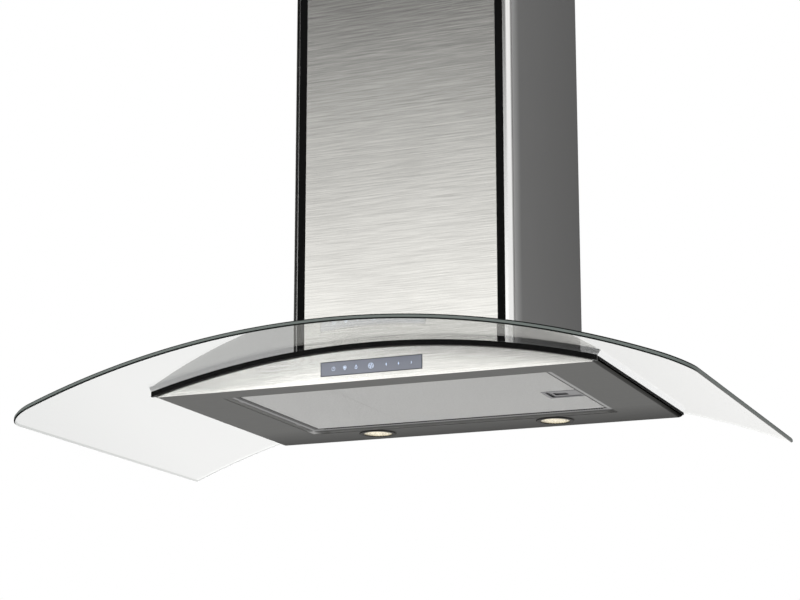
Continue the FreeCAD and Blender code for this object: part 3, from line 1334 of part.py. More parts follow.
# ---------------------------------------------------------------------------------------------
# Fasteners
# ---------------------------------------------------------------------------------------------
def fasteners():
    """Screws and washers of each kind, one node for each kind."""
    top = size("glass_thickness") + size("touch_gap")
    washer = size("washer_thickness")
    gap = size("touch_gap")
    washers = []
    screws = []
    for side, at_x, at_y in glass_screw_places():
        ring = radial_rod(side, at_x, at_y, size("glass_washer"), top, top + washer)
        hole = radial_rod(side, at_x, at_y, size("glass_screw") + gap, top - washer, top + 2 * washer)
        washers.append(ring.cut(hole))
        head = radial_rod(side, at_x, at_y, size("glass_screw_head"), top + washer + gap,
                          top + washer + gap + size("screw_head_height"))
        shank = radial_rod(side, at_x, at_y, size("glass_screw"), -size("glass_screw_depth"),
                           top + washer + gap + size("screw_seat"))
        screws.append(head.fuse(shank))
    node(made_solid("glass_washers", Part.makeCompound(washers)))
    node(made_solid("glass_screws", Part.makeCompound(screws)))

    base = size("casing_top") + gap + size("collar_flange_sheet") + gap
    up = Vector(0, 0, 1)
    node(screw_set("collar_screws", [(spot, up) for spot in collar_screw_places(base)]))

    half = size("casing_width") / 2 + gap
    node(screw_set("casing_screws", [
        (Vector(side * half, -size("tab_screw_y"), level), Vector(side, 0, 0))
        for side in (-1, 1) for level in (size("tab_low_z"), size("tab_high_z"))]))

    foot_top = -size("gasket_height") + size("sheet") + gap
    feet = []
    for side, at_x, at_y in deck_screw_places():
        head = radial_rod(side, at_x, at_y, size("deck_screw_head"), foot_top,
                          foot_top + size("screw_head_height"))
        shank = radial_rod(side, at_x, at_y, size("screw"), foot_top - size("screw_length"), foot_top + gap)
        feet.append(head.fuse(shank))
    node(made_solid("deck_screws", Part.makeCompound(feet)))

    spider_face = -size("scroll_half_width") - 3 * size("scroll_wall") - 2 * gap - size("spider_sheet")
    spots = []
    for index in range(3):
        turn = math.radians(90 + index * 120)
        spots.append((Vector(spider_face, -size("fan_y") + size("spider_reach") * math.cos(turn),
                             size("fan_z") + size("spider_reach") * math.sin(turn)), Vector(-1, 0, 0)))
    node(screw_set("spider_screws", spots))

    cover_side = size("chimney_width") / 2 - 2 * size("chimney_sheet") - gap - size("slide_gap") + gap
    rear = -gap - size("chimney_sheet") - size("slide_gap") - size("upper_sheet") - gap
    level = size("chimney_top") - size("upper_drop") - size("bracket_height") / 2 - size("bracket_drop")
    node(screw_set("bracket_screws", [
        (Vector(side * cover_side, rear - size("bracket_ear") / 2, level), Vector(side, 0, 0))
        for side in (-1, 1)], size("bracket_screw_head")))


def screw_set(name, places, head_height=None):
    """Pan head screws as one object; each place is the seat of a head and its outward direction."""
    tall = head_height or size("screw_head_height")
    length = size("screw_length")
    screws = []
    for spot, outward in places:
        head = Part.makeCylinder(size("screw_head"), tall, spot, outward)
        shank = Part.makeCylinder(size("screw"), length + tall / 2, spot - outward * length, outward)
        screws.append(head.fuse(shank))
    return made_solid(name, Part.makeCompound(screws))


glass_canopy()
front_trim()
gaskets()
underside_tray()
deck_plate()
front_panel()
touch_control()
lamp(-1, "left")
lamp(1, "right")
lamp_driver()
filter_cassette()
filter_latch()
blower_casing()
wall_plate()
scroll_half(-1, "left")
scroll_half(1, "right")
outlet_transition()
impeller()
motor()
outlet_collar()
damper_flap(-1, "front")
damper_flap(1, "rear")
chimney_face()
corner_strip()
corner_profile()
side_panel()
upper_cover()
top_bracket()
electrics()
fasteners()

doc.recompute()
failed = [item.Name for item in doc.Objects if "Invalid" in item.State or "Error" in item.State]
if failed:
    raise SystemExit("failed: " + ", ".join(failed))
for item in NODES:
    if item.Shape.isNull() or not item.Shape.isValid():
        raise SystemExit("bad shape: " + item.Label)

os.makedirs("parts", exist_ok=True)
for item in NODES:
    item.Shape.exportStep("parts/%s.step" % item.Label)
    print("%-22s %2d solids %12.1f mm3" % (item.Label, len(item.Shape.Solids), item.Shape.Volume))
print(len(NODES), "nodes")
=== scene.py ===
"""Looks of a wall range hood with a bent glass canopy: finishes, glass, lamps, filter weave and stage.

Metres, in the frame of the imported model: the wall is y = 0, the front faces -Y, +Z is up and the
origin is the centre of the four wall screws.
"""

import math

import bmesh
import bpy
from bpy.props import FloatProperty, FloatVectorProperty, IntProperty, PointerProperty
from mathutils import Matrix, Vector


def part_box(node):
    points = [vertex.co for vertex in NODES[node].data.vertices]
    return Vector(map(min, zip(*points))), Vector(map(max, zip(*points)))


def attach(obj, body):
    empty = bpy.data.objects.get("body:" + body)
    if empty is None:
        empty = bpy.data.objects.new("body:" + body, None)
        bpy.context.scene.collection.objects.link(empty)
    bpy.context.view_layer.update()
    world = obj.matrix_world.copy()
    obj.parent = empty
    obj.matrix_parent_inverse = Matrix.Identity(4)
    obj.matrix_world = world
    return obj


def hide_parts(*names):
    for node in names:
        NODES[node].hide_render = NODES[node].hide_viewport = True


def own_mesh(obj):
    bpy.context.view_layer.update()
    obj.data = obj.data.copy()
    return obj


bl_info = {
    "name": "Glass Range Hood",
    "version": (1, 0, 0),
    "blender": (4, 5, 0),
    "location": "3D View > Sidebar > Hood",
    "description": "Dresses a range hood: glass, brushed steel, filter weave, lamps and display",
    "category": "Object",
}

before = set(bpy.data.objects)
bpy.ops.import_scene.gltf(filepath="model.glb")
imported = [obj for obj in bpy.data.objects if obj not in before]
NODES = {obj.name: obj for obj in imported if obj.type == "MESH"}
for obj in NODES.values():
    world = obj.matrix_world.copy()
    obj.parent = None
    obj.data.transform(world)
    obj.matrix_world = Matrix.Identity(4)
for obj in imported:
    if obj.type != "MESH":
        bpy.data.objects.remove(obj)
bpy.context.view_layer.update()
MM = 0.001

GLASS_LOW, GLASS_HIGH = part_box("glass_canopy")
TRAY_LOW, TRAY_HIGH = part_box("underside_tray")
PANEL_LOW, PANEL_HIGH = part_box("front_panel")
SIDE_LOW, SIDE_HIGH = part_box("chimney_side_right")
DISPLAY_LOW, DISPLAY_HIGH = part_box("control_glass")
FILTER_LOW, FILTER_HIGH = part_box("filter_frame")
MESH_LOW, MESH_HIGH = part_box("filter_mesh")
LATCH_LOW, LATCH_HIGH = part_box("latch_base")
LENS_LOW, LENS_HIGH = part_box("lamp_lens_right")
LAMP_X = (LENS_LOW.x + LENS_HIGH.x) / 2
# the face's material slots on the pane
EDGE_SLOT = 1
BEVEL_SLOT = 2


# ---- Values a user would change ----

def length_value(name, description, default):
    """A length, with its default in millimetres."""
    return FloatProperty(name=name, description=description, default=default * MM, unit="LENGTH")


def count_value(name, description, default):
    """A number of things."""
    return IntProperty(name=name, description=description, default=default)


def colour_value(name, description, default):
    """A colour, in linear red, green and blue."""
    return FloatVectorProperty(name=name, description=description, subtype="COLOR", size=3, default=default)


class HoodSizes(bpy.types.PropertyGroup):
    """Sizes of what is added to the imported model."""

    glass_thickness: length_value("Glass Thickness", "Thickness of the bent pane", 6.0)
    glass_bend: length_value("Glass Bend", "Radius of the pane's underside", 1152.0)
    glass_corner: length_value("Glass Corner", "Radius of the pane's front corners", 38.0)
    notch_half: length_value("Notch Half Width", "Half the width of the cut-out at the wall", 128.0)
    notch_depth: length_value("Notch Depth", "Depth of the cut-out from the wall", 258.0)
    notch_corner: length_value("Notch Corner", "Radius of the cut-out's inner corners", 12.0)
    edge_bevel: length_value("Edge Bevel", "Bevel of the pane's polished edge", 1.6)
    bend_steps: count_value("Bend Steps", "Strips that the pane is bent in", 120)
    weave_pitch: length_value("Weave Pitch", "Distance between two wires of the filter", 2.4)
    weave_wire: length_value("Weave Wire", "Thickness of a filter wire", 0.62)
    filter_border: length_value("Filter Border", "Width of the filter's frame", 12.0)
    filter_seam: length_value("Filter Seam", "Place of the seam between the two filter panels", -76.0)
    rib_pitch: length_value("Rib Pitch", "Distance between two ribs at the filter's rear", 3.6)
    lens_rings: count_value("Lens Rings", "Rings of facets on a lamp lens", 5)
    lens_facet: length_value("Lens Facet", "Radius of one facet of a lamp lens", 2.0)


class HoodColours(bpy.types.PropertyGroup):
    """Colours of the main finishes."""

    face_steel: colour_value("Face Steel", "Brushed steel of the chimney's front", (0.74, 0.735, 0.71))
    # the tray steel is far darker than the face steel: painted shade of the underside, which faces away from
    # the light
    tray_steel: colour_value("Tray Steel", "Satin steel of the underside", (0.092, 0.092, 0.090))
    # the side steel is darker than the face steel: partly a grey finish, partly painted shade of the sides
    # that face away from the light
    side_steel: colour_value("Side Steel", "Grey satin steel of the chimney's sides", (0.23, 0.23, 0.232))
    corner_steel: colour_value("Corner Steel", "Bright steel of the chimney's corners", (0.83, 0.83, 0.83))
    glass_tint: colour_value("Glass Tint", "Colour that the pane gives to what is behind it",
                             (0.985, 0.995, 0.988))
    weave: colour_value("Weave", "Aluminium of the filter wires", (0.54, 0.54, 0.535))
    lamp_glow: colour_value("Lamp Glow", "Light of the lamps' lenses", (1.0, 0.83, 0.58))
    symbols: colour_value("Symbols", "Lit symbols of the display", (0.62, 0.72, 0.92))


# ---- Node trees ----

class Tree:
    """A node tree, with short calls for the nodes that it is made of."""

    def __init__(self, tree):
        self.tree = tree

    def feed(self, target, source):
        """Link a socket to an input, or set a constant on it."""
        if isinstance(source, bpy.types.NodeSocket):
            self.tree.links.new(source, target)
        else:
            target.default_value = source

    def add(self, kind, sources=None, **settings):
        """A node with settings on itself, and sockets or constants on its inputs."""
        made = self.tree.nodes.new(kind)
        for name, value in settings.items():
            setattr(made, name, value)
        for name, source in (sources or {}).items():
            self.feed(made.inputs[name], source)
        return made

    def sum(self, operation, *values):
        """A math node on its values."""
        return self.add("ShaderNodeMath", dict(enumerate(values)), operation=operation).outputs[0]

    def times(self, first, second):
        return self.sum("MULTIPLY", first, second)

    def blend(self, first, second, share=0.5):
        """A value between two others, by a share."""
        return self.add("ShaderNodeMix", {"Factor": share, "A": first, "B": second}).outputs["Result"]

    def span(self, factor, low, high, start=0.0, end=1.0, way="LINEAR"):
        """Map a factor between start and end to the range low to high."""
        return self.add("ShaderNodeMapRange", {
            "Value": factor, "From Min": start, "From Max": end, "To Min": low, "To Max": high},
            interpolation_type=way).outputs["Result"]

    def ray(self, kind):
        """What is known of the ray that meets the surface."""
        return self.add("ShaderNodeLightPath").outputs[kind]

    def mixed(self, share, first, second):
        """A shader between two others, by a share."""
        return self.add("ShaderNodeMixShader", {"Fac": share, 1: first, 2: second}).outputs["Shader"]


class Finish(Tree):
    """A material with one Principled shader and a pattern read from object coordinates."""

    def __init__(self, name, colour, metallic=0.0, roughness=0.5):
        self.material = bpy.data.materials.new(name)
        self.material.use_nodes = True
        super().__init__(self.material.node_tree)
        self.tree.nodes.clear()
        self.colour = tuple(colour)
        self.shader = self.add("ShaderNodeBsdfPrincipled", {
            "Base Color": (*colour, 1.0), "Metallic": metallic, "Roughness": roughness})
        self.surface = self.add("ShaderNodeOutputMaterial").inputs["Surface"]
        self.feed(self.surface, self.shader.outputs["BSDF"])

    def set(self, socket, value):
        """Feed an input of the Principled shader."""
        self.feed(self.shader.inputs[socket], value)

    def place(self, scale=(1.0, 1.0, 1.0), turn=0.0):
        """Object coordinates, scaled and turned about Z."""
        source = self.add("ShaderNodeTexCoord").outputs["Object"]
        return self.add("ShaderNodeMapping", {
            "Vector": source, "Scale": scale, "Rotation": (0.0, 0.0, turn)}).outputs["Vector"]

    def axes(self):
        """Object coordinates, an output to each axis."""
        return self.add("ShaderNodeSeparateXYZ", {0: self.place()}).outputs

    def noise(self, place, scale, detail=2.0, rough=0.5):
        return self.add("ShaderNodeTexNoise", {
            "Vector": place, "Scale": scale, "Detail": detail, "Roughness": rough}).outputs["Fac"]

    def cells(self, place, scale, feature="F1", output="Color"):
        return self.add("ShaderNodeTexVoronoi", {"Vector": place, "Scale": scale},
                        feature=feature).outputs[output]

    def grey(self, colour):
        return self.add("ShaderNodeRGBToBW", {"Color": colour}).outputs["Val"]

    def along(self, axis, start, end, low, high):
        """A value that goes from low to high between two places on an axis."""
        return self.span(self.axes()[axis], low, high, start, end)

    def inside(self, low, high):
        """1 between two corners of a box, 0 outside it."""
        factor = 1.0
        for axis, start, end in zip(self.axes(), low, high):
            factor = self.times(factor, self.sum("COMPARE", axis, (start + end) / 2, (end - start) / 2))
        return factor

    def distance(self, value, mark):
        """How far a value is from a mark."""
        return self.sum("ABSOLUTE", self.sum("SUBTRACT", value, mark))

    def mix_with(self, share, other):
        """Mix another shader into the finish, by a share."""
        before = self.surface.links[0].from_socket
        self.feed(self.surface, self.mixed(share, before, other))
        return self

    def clear_by(self, share, colour=(1.0, 1.0, 1.0, 1.0)):
        """Make the finish transparent, by a share."""
        return self.mix_with(share, self.add("ShaderNodeBsdfTransparent", {"Color": colour}).outputs["BSDF"])

    def from_behind(self):
        """1 where the surface is seen from its back."""
        return self.add("ShaderNodeNewGeometry").outputs["Backfacing"]

    def shade_by(self, value, socket="Base Color"):
        """Multiply the colour that is already linked by a value."""
        before = self.shader.inputs[socket].links[0].from_socket
        self.set(socket, self.add("ShaderNodeVectorMath", {0: before, "Scale": value},
                                  operation="SCALE").outputs[0])

    def colour_by(self, factor, dark, light, socket="Base Color"):
        """Colour between dark and light shares of the finish's own colour."""
        ends = [(*[min(1.0, channel * share) for channel in self.colour], 1.0) for share in (dark, light)]
        self.set(socket, self.add("ShaderNodeMix", {"Factor": factor, "A": ends[0], "B": ends[1]},
                                  data_type="RGBA").outputs["Result"])

    def rough_by(self, factor, low, high):
        self.set("Roughness", self.span(factor, low, high))

    def bump_by(self, height, strength, distance):
        self.set("Normal", self.add("ShaderNodeBump", {
            "Height": height, "Strength": strength, "Distance": distance}).outputs["Normal"])


# ---- Materials ----

def brushed(name, colour, grain, roughness=0.26, contrast=0.07, metallic=1.0, low_mirror=1.0):
    """Steel with a brushed grain: long streaks along the axis whose scale is small in grain.

    low_mirror is the share of the mirror image that is left at a low angle.
    """
    steel = Finish(name, colour, metallic, roughness)
    steel.set("Specular Tint", (low_mirror, low_mirror, low_mirror, 1.0))
    broad = steel.noise(steel.place(grain), 1.0, 1.0, 0.4)
    fine = steel.noise(steel.place(tuple(2.7 * step for step in grain)), 1.0, 1.0, 0.4)
    cloud = steel.noise(steel.place(), 7.0, 2.0)
    streaks = steel.blend(broad, fine, 0.4)
    tone = steel.blend(streaks, cloud, 0.15)
    steel.colour_by(steel.span(tone, 0.0, 1.0, 0.32, 0.68), 1.0 - contrast, 1.0 + contrast)
    steel.rough_by(streaks, roughness - 0.05, roughness + 0.07)
    steel.bump_by(fine, 0.05, 0.1 * MM)
    return steel


def panel_steel(grain):
    """The front panel's brushed steel, with a painted highlight along its lower edge, where it bends."""
    steel = brushed("brushed_panel_steel", (0.60, 0.596, 0.575), grain, 0.22, 0.14)
    highlight_height = 7.0 * MM
    # painted highlight: the colour is a quarter lighter at the bottom edge, fading out over this height
    steel.shade_by(steel.along("Z", PANEL_LOW.z, PANEL_LOW.z + highlight_height, 1.25, 1.0))
    return steel


def tray_steel(colour):
    """The underside's satin steel, with painted shade towards the wall, painted light near the front and
    inside the filter's well, and a painted glow where it is seen in the pane.
    """
    steel = brushed("satin_tray_steel", colour, (30.0, 420.0, 420.0), 0.3, 0.05)
    # painted shade and light: 0.42 at the wall, 1.14 at the front and 4.5 times inside the filter's well
    rear_start = -120.0 * MM
    rear = steel.along("Y", rear_start, TRAY_HIGH.y, 1.0, 0.42)
    front = steel.along("Y", TRAY_LOW.y, FILTER_HIGH.y, 1.14, 1.0)
    low, high = grown(FILTER_LOW, FILTER_HIGH, 3.0 * MM, 3.0 * MM, 0.0)
    low.z, high.z = TRAY_LOW.z + 0.5 * MM, TRAY_HIGH.z
    well = steel.span(steel.inside(low, high), 1.0, 4.5)
    # painted shade: the rounded sides are darker, and a black band is painted along their outer edge
    rounding, dark_band = 6.4 * MM, 1.5 * MM
    flat = steel.inside(*grown(TRAY_LOW, TRAY_HIGH, -rounding, MM, MM))
    outside_band = steel.inside(*grown(TRAY_LOW, TRAY_HIGH, -dark_band, MM, MM))
    side = steel.times(steel.span(flat, 0.5, 1.0), outside_band)
    shade = steel.times(steel.times(rear, front), steel.times(well, side))
    steel.shade_by(shade)
    # painted reflection: the steel's mirror at a low angle follows the same painted shade and light
    steel.set("Specular Tint", steel.span(shade, 0.312, 0.812, 0.0, 5.0))
    return glow_in_mirrors(steel)


def grown(low, high, *margins):
    """The corners of a box that is larger on both sides by a margin to each axis."""
    return low - Vector(margins), high + Vector(margins)


def glow_in_mirrors(finish):
    """Paint a glow into a finish for rays that come from a mirror, so that its mirror image in the pane is as
    light as the background.
    """
    mirror_glow = finish.add("ShaderNodeEmission", {"Strength": 1.05})
    return finish.mix_with(finish.ray("Glossy Depth"), mirror_glow.outputs["Emission"])


def seal_rubber():
    """Matt black rubber of the seals, with a painted glow where it is seen in a mirror such as the pane."""
    return glow_in_mirrors(moulded("matt_seal_rubber", (0.010, 0.010, 0.010), 0.8, 1300.0, 0.2, 0.1))


def frame_steel(border):
    """The filter frame's anodised metal, with painted shade along its inner edge beside the mesh."""
    metal = brushed("anodised_filter_frame", (0.22, 0.22, 0.22), (40.0, 500.0, 500.0), 0.38, 0.05,
                    low_mirror=0.57)
    shade_inset = border - 2.2 * MM
    shade_mask = metal.inside(*grown(FILTER_LOW, FILTER_HIGH, -shade_inset, -shade_inset, MM))
    # painted shade: the frame's inner strip, 2.2 mm wide, is darkened to 15 %
    metal.shade_by(metal.span(shade_mask, 1.0, 0.15))
    return metal


def side_steel(colour):
    """The chimney's side panels, with painted light by the front seam and painted shade growing towards the
    wall.
    """
    steel = brushed("satin_side_steel", colour, (400.0, 400.0, 14.0), 0.3, 0.05)
    front = SIDE_LOW.y
    light_end = front + 34.0 * MM
    # painted light and shade: 2.9 times at the front seam, down to 0.62 at the wall
    steel.shade_by(steel.along("Y", front, light_end, 2.9, 1.0))
    steel.shade_by(steel.along("Y", light_end, SIDE_HIGH.y, 1.0, 0.62))
    return steel


def moulded(name, colour, roughness=0.5, grain=900.0, strength=0.12, shine=0.4):
    """Moulded plastic with a fine spark-eroded grain and slight clouding."""
    plastic = Finish(name, colour, 0.0, roughness)
    plastic.set("Specular IOR Level", shine)
    grains = plastic.noise(plastic.place(), grain, 2.0)
    cloud = plastic.noise(plastic.place(), 14.0, 3.0)
    plastic.colour_by(cloud, 0.85, 1.18)
    plastic.rough_by(cloud, roughness - 0.07, roughness + 0.09)
    plastic.bump_by(grains, strength, 0.2 * MM)
    return plastic


def galvanised():
    """Zinc coated sheet with its spangle."""
    zinc = Finish("galvanised_sheet", (0.56, 0.58, 0.59), 0.85, 0.42)
    spangle = zinc.grey(zinc.cells(zinc.place(), 95.0))
    cloud = zinc.noise(zinc.place(), 30.0, 3.0)
    tone = zinc.blend(spangle, cloud, 0.5)
    zinc.colour_by(zinc.span(tone, 0.0, 1.0, 0.25, 0.75), 0.82, 1.14)
    zinc.rough_by(tone, 0.34, 0.54)
    zinc.bump_by(cloud, 0.06, 0.5 * MM)
    return zinc


def clear_pane(tint):
    """Clear glass that lets the lamps' rays through."""
    glass = Finish("clear_toughened_glass", tint, 0.0, 0.0)
    glass.set("Transmission Weight", 1.0)
    glass.set("IOR", 1.5)
    smear = glass.noise(glass.place(), 9.0, 4.0)
    glass.set("Roughness", glass.span(smear, 0.0, 0.004, 0.52, 0.78))
    return glass.clear_by(glass.ray("Is Shadow Ray"), (0.86, 0.89, 0.87, 1.0))


def glass_edge(name, colour, roughness):
    """Edge of the pane, drawn opaque and dark from outside and faint through the glass: the green tint is the
    glass's own, the darkness is painted shade.
    """
    edge = Finish(name, colour, 0.0, roughness)
    edge.colour_by(edge.noise(edge.place(), 60.0, 2.0), 0.92, 1.08)
    edge.set("Specular IOR Level", 0.08)
    return edge.clear_by(edge.from_behind(), (0.62, 0.64, 0.63, 1.0))


def glowing(name, colour, glow, strength):
    """A surface that is lit from behind."""
    lit = Finish(name, colour, 0.0, 0.3)
    lit.set("Emission Color", (*glow, 1.0))
    lit.set("Emission Strength", strength)
    lit.colour_by(lit.noise(lit.place(), 500.0, 2.0), 0.92, 1.08)
    return lit


def backing_mesh():
    """Packed layers of expanded metal behind the wires, with painted shade in the holes between the strands.
    """
    metal = Finish("packed_filter_layers", (0.50, 0.50, 0.49), 0.5, 0.5)
    place = metal.place((1.0, 1.0, 0.2), math.radians(45))
    diamonds = metal.cells(place, 420.0, "DISTANCE_TO_EDGE", "Distance")
    strands = metal.span(diamonds, 1.0, 0.0, 0.02, 0.3)
    # painted shade: the holes between the strands are darkened to 55 %, the strands lifted a little
    metal.colour_by(strands, 0.55, 1.15)
    metal.bump_by(strands, 0.6, 0.6 * MM)
    return metal


def lens_glass(glow):
    """Faceted lens over a lit reflector: bright at its middle and amber towards the rim."""
    lens = Finish("faceted_lamp_lens", (0.12, 0.11, 0.09), 0.0, 0.15)
    facets = lens.grey(lens.cells(lens.place((1.0, 1.0, 0.1)), 330.0))
    lens.colour = tuple(glow)
    lens.colour_by(facets, 0.45, 1.1, "Emission Color")
    beside = lens.distance(lens.distance(lens.axes()["X"], 0.0), LAMP_X)
    lens.shade_by(lens.span(beside, 1.0, 0.42, 9.0 * MM, 19.0 * MM), "Emission Color")
    lens.set("Emission Strength", 0.74)
    return lens


MATERIALS = {}


def make_materials(sizes, colours):
    """Every finish, by a word."""
    grain = (18.0, 900.0, 950.0)
    upright_grain = (420.0, 420.0, 12.0)
    black = (0.005, 0.005, 0.005)
    glow = colours.lamp_glow

    def even(scale):
        return scale, scale, scale

    made = {
        "face": brushed("brushed_face_steel", colours.face_steel, grain, 0.2, 0.20),
        "panel": panel_steel(grain),
        "tray": tray_steel(colours.tray_steel),
        "side": side_steel(colours.side_steel),
        "corner": brushed("bright_corner_steel", colours.corner_steel, upright_grain, 0.16, 0.03),
        "upper": brushed("upper_cover_steel", (0.45, 0.45, 0.445), grain, 0.3, 0.08),
        "trim": moulded("black_gloss_profile", black, 0.3, 500.0, 0.02, 0.03),
        "strip": moulded("black_satin_strip", black, 0.45, 700.0, 0.05, 0.03),
        "rubber": seal_rubber(),
        "zinc": galvanised(),
        "dark_plastic": moulded("dark_moulded_plastic", (0.055, 0.056, 0.06), 0.5),
        "white_plastic": moulded("white_moulded_plastic", (0.78, 0.78, 0.75), 0.45),
        "display": moulded("tinted_display_glass", (0.185, 0.195, 0.235), 0.14, 200.0, 0.01),
        "display_rim": moulded("display_rim_black", (0.03, 0.03, 0.035), 0.3, 300.0, 0.01),
        "symbols": glowing("lit_symbols", colours.symbols, colours.symbols, 0.42),
        "circuit": moulded("green_circuit_board", (0.03, 0.17, 0.07), 0.35, 260.0, 0.4),
        "frame": frame_steel(sizes.filter_border),
        "backing": backing_mesh(),
        "weave": brushed("filter_wire", colours.weave, even(300.0), 0.42, 0.06, 0.55),
        "latch": brushed("latch_aluminium", (0.20, 0.20, 0.205), (60.0, 500.0, 500.0), 0.4, 0.04,
                         low_mirror=0.5),
        "latch_base": moulded("latch_base_grey", (0.22, 0.22, 0.225), 0.55, shine=0.12),
        "bright": brushed("bright_turned_steel", (0.62, 0.62, 0.61), even(300.0), 0.22, 0.05),
        "motor": moulded("grey_motor_paint", (0.24, 0.25, 0.26), 0.38, 400.0, 0.1),
        "lamp_ring": moulded("dark_lamp_ring", (0.012, 0.011, 0.010), 0.5, 600.0, 0.03, 0.03),
        "reflector": brushed("lamp_reflector", (0.78, 0.75, 0.68), even(200.0), 0.2, 0.04),
        "lens": lens_glass(glow),
        "bulb": glowing("capsule_bulb", (0.95, 0.9, 0.8), glow, 1.0),
        "glass": clear_pane(colours.glass_tint),
        # the pane's edge and its bevels are painted dark and near black: painted shade in place of the light
        # bent through the edge
        "edge": glass_edge("ground_glass_edge", (0.15, 0.17, 0.16), 0.4),
        "edge_bevel": glass_edge("glass_edge_bevel", (0.006, 0.008, 0.007), 0.3),
    }
    MATERIALS.update({word: finish.material for word, finish in made.items()})


def paint(word, *nodes):
    """Give CAD nodes a finish."""
    for name in nodes:
        NODES[name].data.materials.clear()
        NODES[name].data.materials.append(MATERIALS[word])


# ---- Meshes and Geometry Nodes ----

def linked(name, data):
    """A new object in the scene."""
    made = bpy.data.objects.new(name, data)
    bpy.context.scene.collection.objects.link(made)
    return made


def piece_from(mesh, name, body, slot, *materials):
    """A finished piece: a mesh object at the origin that rides on a body."""
    made = linked(name, mesh)
    for index, word in enumerate(materials):
        if index < len(mesh.materials):
            mesh.materials[index] = MATERIALS[word]
        else:
            mesh.materials.append(MATERIALS[word])
    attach(made, body)
    return made


def plain_mesh(shape, name):
    """A mesh from a bmesh, which is freed."""
    mesh = bpy.data.meshes.new(name)
    shape.to_mesh(mesh)
    shape.free()
    return mesh


def mesh_from(shape, name):
    """A mesh from a bmesh, with its faces turned outwards."""
    bmesh.ops.recalc_face_normals(shape, faces=shape.faces[:])
    return plain_mesh(shape, name)


def evaluated(holder):
    """An object's mesh with its modifiers applied; the object goes."""
    graph = bpy.context.evaluated_depsgraph_get()
    result = bpy.data.meshes.new_from_object(holder.evaluated_get(graph))
    holder.modifiers.clear()
    bpy.data.objects.remove(holder)
    return result


def smooth(mesh, degrees=35.0):
    """Shade smooth, with sharp edges past an angle."""
    for face in mesh.polygons:
        face.use_smooth = True
    mesh.set_sharp_from_angle(angle=math.radians(degrees))
    return mesh


def bridge(shape, first, second):
    """Faces between two closed rows of corners, where one corner may stand for several."""
    made = []
    for index in range(len(first)):
        after = (index + 1) % len(first)
        corners = dict.fromkeys((first[index], first[after], second[after], second[index]))
        if len(corners) > 2:
            made.append(shape.faces.new(list(corners)))
    return made


class Recipe(Tree):
    """A Geometry Nodes tree with named inputs."""

    KINDS = {"length": "NodeSocketFloat", "count": "NodeSocketInt", "object": "NodeSocketObject",
             "material": "NodeSocketMaterial"}

    def __init__(self, name, **inputs):
        super().__init__(bpy.data.node_groups.new(name, "GeometryNodeTree"))
        socket = self.tree.interface.new_socket
        socket("Geometry", in_out="INPUT", socket_type="NodeSocketGeometry")
        for label, kind in inputs.items():
            socket(label.replace("_", " "), in_out="INPUT", socket_type=self.KINDS[kind])
        socket("Geometry", in_out="OUTPUT", socket_type="NodeSocketGeometry")
        self.start = self.add("NodeGroupInput")
        self.end = self.add("NodeGroupOutput")

    def given(self, label):
        return self.start.outputs[label]

    def row(self):
        """Points in a row along x, by the recipe's own count and pitch."""
        offset = self.add("ShaderNodeCombineXYZ", {"X": self.given("Pitch")})
        return self.add("GeometryNodeMeshLine", {
            "Count": self.given("Count"), "Offset": offset.outputs[0]}).outputs["Mesh"]

    def give(self, geometry):
        self.feed(self.end.inputs["Geometry"], geometry)
        return self

    def place(self, points, instance, **more):
        """An instance on each point. Realizing them and setting the material are the last two steps."""
        placed = self.add("GeometryNodeInstanceOnPoints", {"Points": points, "Instance": instance, **more})
        real = self.add("GeometryNodeRealizeInstances", {"Geometry": placed.outputs["Instances"]})
        dressed = self.add("GeometryNodeSetMaterial", {
            "Geometry": real.outputs["Geometry"], "Material": self.given("Material")})
        return self.give(dressed.outputs["Geometry"])

    def apply(self, mesh, name, **values):
        """Run the tree on a mesh and return the result as a plain mesh."""
        holder = linked(name, mesh)
        modifier = holder.modifiers.new("recipe", "NODES")
        modifier.node_group = self.tree
        labels = {item.name: item.identifier for item in self.tree.interface.items_tree
                  if item.in_out == "INPUT"}
        for label, value in values.items():
            modifier[labels[label.replace("_", " ")]] = value
        result = evaluated(holder)
        result.name = name
        return result


def cut(shape, point, outward, **more):
    """Cut a bmesh along a plane."""
    bmesh.ops.bisect_plane(shape, geom=shape.verts[:] + shape.edges[:] + shape.faces[:],
                           plane_co=point, plane_no=outward, **more)


def islands(node):
    """The separate solids of a CAD node, each as a list of points."""
    shape = bmesh.new()
    shape.from_mesh(NODES[node].data)
    bmesh.ops.remove_doubles(shape, verts=shape.verts[:], dist=0.01 * MM)
    left = set(shape.verts)
    found = []
    while left:
        reach = [left.pop()]
        for vert in reach:
            near = left.intersection(edge.other_vert(vert) for edge in vert.link_edges)
            left -= near
            reach += near
        found.append([vert.co.copy() for vert in reach])
    shape.free()
    return found


# ---- Glass canopy ----

def arc_points(centre, radius, start, end, steps):
    """Points along an arc in the plan, in degrees."""
    for step in range(steps + 1):
        turn = math.radians(start + (end - start) * step / steps)
        yield centre[0] + radius * math.cos(turn), centre[1] + radius * math.sin(turn)


def pane_outline(sizes, inset):
    """The pane's plan, drawn in by inset: round front corners and a notch at the wall."""
    half = GLASS_HIGH.x - inset
    front = GLASS_LOW.y + inset
    back = GLASS_HIGH.y - inset
    corner = sizes.glass_corner - inset
    notch = sizes.notch_half + inset
    deep = -sizes.notch_depth - inset
    inner = sizes.notch_corner + inset
    steps = 14
    points = list(arc_points((-half + corner, front + corner), corner, 180, 270, steps))
    points += arc_points((half - corner, front + corner), corner, 270, 360, steps)
    points += [(half, back), (notch, back)]
    points += arc_points((notch - inner, deep + inner), inner, 0, -90, steps // 2)
    points += arc_points((-notch + inner, deep + inner), inner, -90, -180, steps // 2)
    points += [(-notch, back), (-half, back)]
    return points


